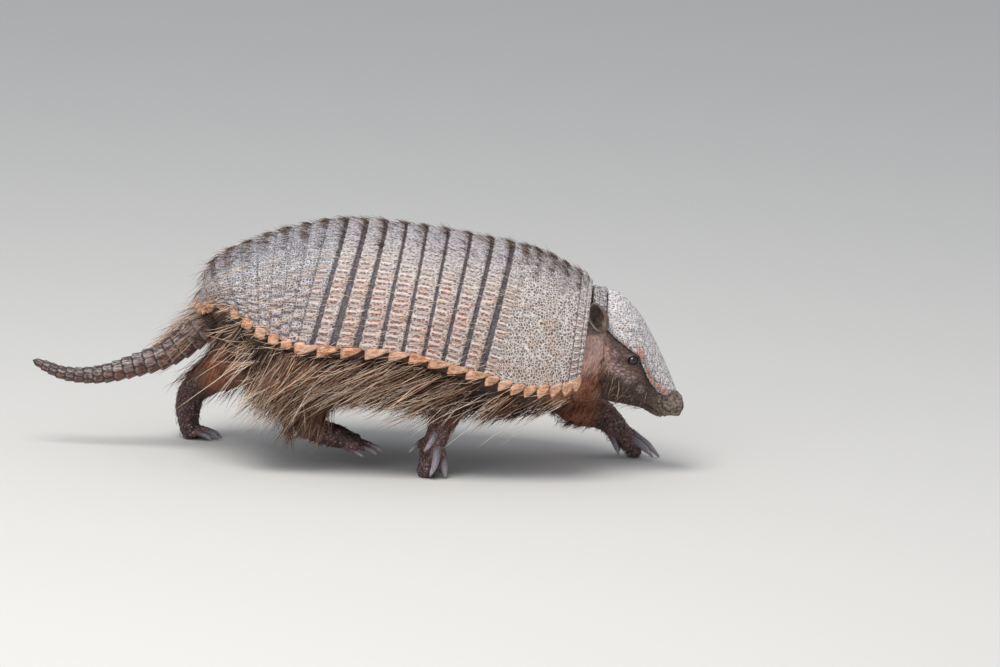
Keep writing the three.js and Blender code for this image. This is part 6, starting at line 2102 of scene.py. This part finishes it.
def tail_hair():
    """Tan hair over the root of the tail, lying back along it."""
    draw = np.random.default_rng(141)
    count = 110 if FINE else 55
    curve, keys = along_curve(TAIL_PATH, 400)
    t = 0.04 + 0.30 * draw.uniform(0, 1, count) ** 1.2
    centre = read_off(t, keys, curve)
    along = unit(read_off(t + 0.01, keys, curve) - centre)
    across, over = tail_sides(along)
    angle = draw.normal(0, 1.0, count)
    n = across * np.sin(angle)[:, None] + over * np.cos(angle)[:, None]
    radius = through(TAIL_RADII[:, 0], TAIL_RADII[:, 1], t)
    roots = centre + n * (radius * 0.93)[:, None]
    first = unit(along + n * draw.uniform(0.25, 0.6, count)[:, None])
    last = unit(along + np.array([0, 0, -0.12]) + n * 0.05)
    coat("coat_tail", roots, first, last, draw.uniform(14, 30, count), width=0.24, seed=142, strands=3,
         rings=5, spread=0.9, tint=(0.2, 1.1), dark=0.3, wander=0.08)


for side, label in SIDES:
    side_hair(side, label)
body_hair()
bristles()
rump_hair()
shell_hair()
tail_hair()

# ---------------------------------------------------------------- floor, lights and camera


def stage():
    """The pale floor."""
    mesh = bpy.data.meshes.new("floor")
    size = 6.0  # half its side, in metres
    corners = [(-size, -size, 0), (size, -size, 0), (size, size, 0), (-size, size, 0)]
    mesh.from_pydata(corners, [], [(0, 1, 2, 3)])
    floor = put_in_scene("floor", mesh)
    s = Shader("floor_pale")
    grain = s.ramp(s.noise(3.0), 0.3, 0.7)
    mesh.materials.append(s.surface(s.mix(grain, srgb(0.815, 0.805, 0.785), srgb(0.82, 0.81, 0.79)), 0.9))


def area_light(name, place, aim, size, watts, color):
    """A round soft light at a place, turned to its aim, in metres."""
    light = bpy.data.lights.new(name, "AREA")
    light.shape = "DISK"
    light.size = size
    light.energy = watts
    light.color = color
    obj = put_in_scene(name, light)
    obj.location = place
    obj.rotation_euler = (Vector(aim) - Vector(place)).to_track_quat("-Z", "Y").to_euler()


def lights():
    """Soft light of an overcast sky: from all round, from above and from the front."""
    world = bpy.data.worlds.new("studio")
    world.use_nodes = True
    background = world.node_tree.nodes["Background"]
    background.inputs[0].default_value = (0.86, 0.91, 1.0, 1)
    background.inputs[1].default_value = 0.55
    bpy.context.scene.world = world
    aim = (0, 0, 0.08)
    area_light("overhead", (-0.35, -0.95, 2.1), aim, size=1.4, watts=42, color=(1.0, 0.98, 0.95))
    area_light("front_fill", (-1.1, -2.4, 1.6), aim, size=2.4, watts=24, color=(0.88, 0.94, 1.0))


CAMERA_AZIMUTH, CAMERA_ELEVATION, CAMERA_ROLL = math.radians(0.28), math.radians(9.735), math.radians(2.49)
CAMERA_DISTANCE, CAMERA_LENS = 6.0, 308.27  # in metres, and in mm
CAMERA_AIM = (np.array([69.36, 0, 93.33]) + SHIFT) * MM


def camera():
    """The photo's view, from far off with a long lens."""
    az, el, roll = CAMERA_AZIMUTH, CAMERA_ELEVATION, CAMERA_ROLL
    ahead = np.array([-math.sin(az) * math.cos(el), math.cos(az) * math.cos(el), -math.sin(el)])
    right = np.array([math.cos(az), math.sin(az), 0])
    up = np.cross(right, ahead)
    turned_right = math.cos(roll) * right + math.sin(roll) * up
    turned_up = -math.sin(roll) * right + math.cos(roll) * up
    data = bpy.data.cameras.new("camera")
    data.sensor_width = 36
    data.lens = CAMERA_LENS
    data.clip_end = 50
    obj = put_in_scene("camera", data)
    place = CAMERA_AIM - ahead * CAMERA_DISTANCE
    turn = Matrix(np.stack([turned_right, turned_up, -ahead], 1).tolist()).to_4x4()
    obj.matrix_world = Matrix.Translation(Vector(place)) @ turn
    bpy.context.scene.camera = obj
    bpy.context.scene.view_settings.view_transform = "Standard"


stage()
lights()
camera()
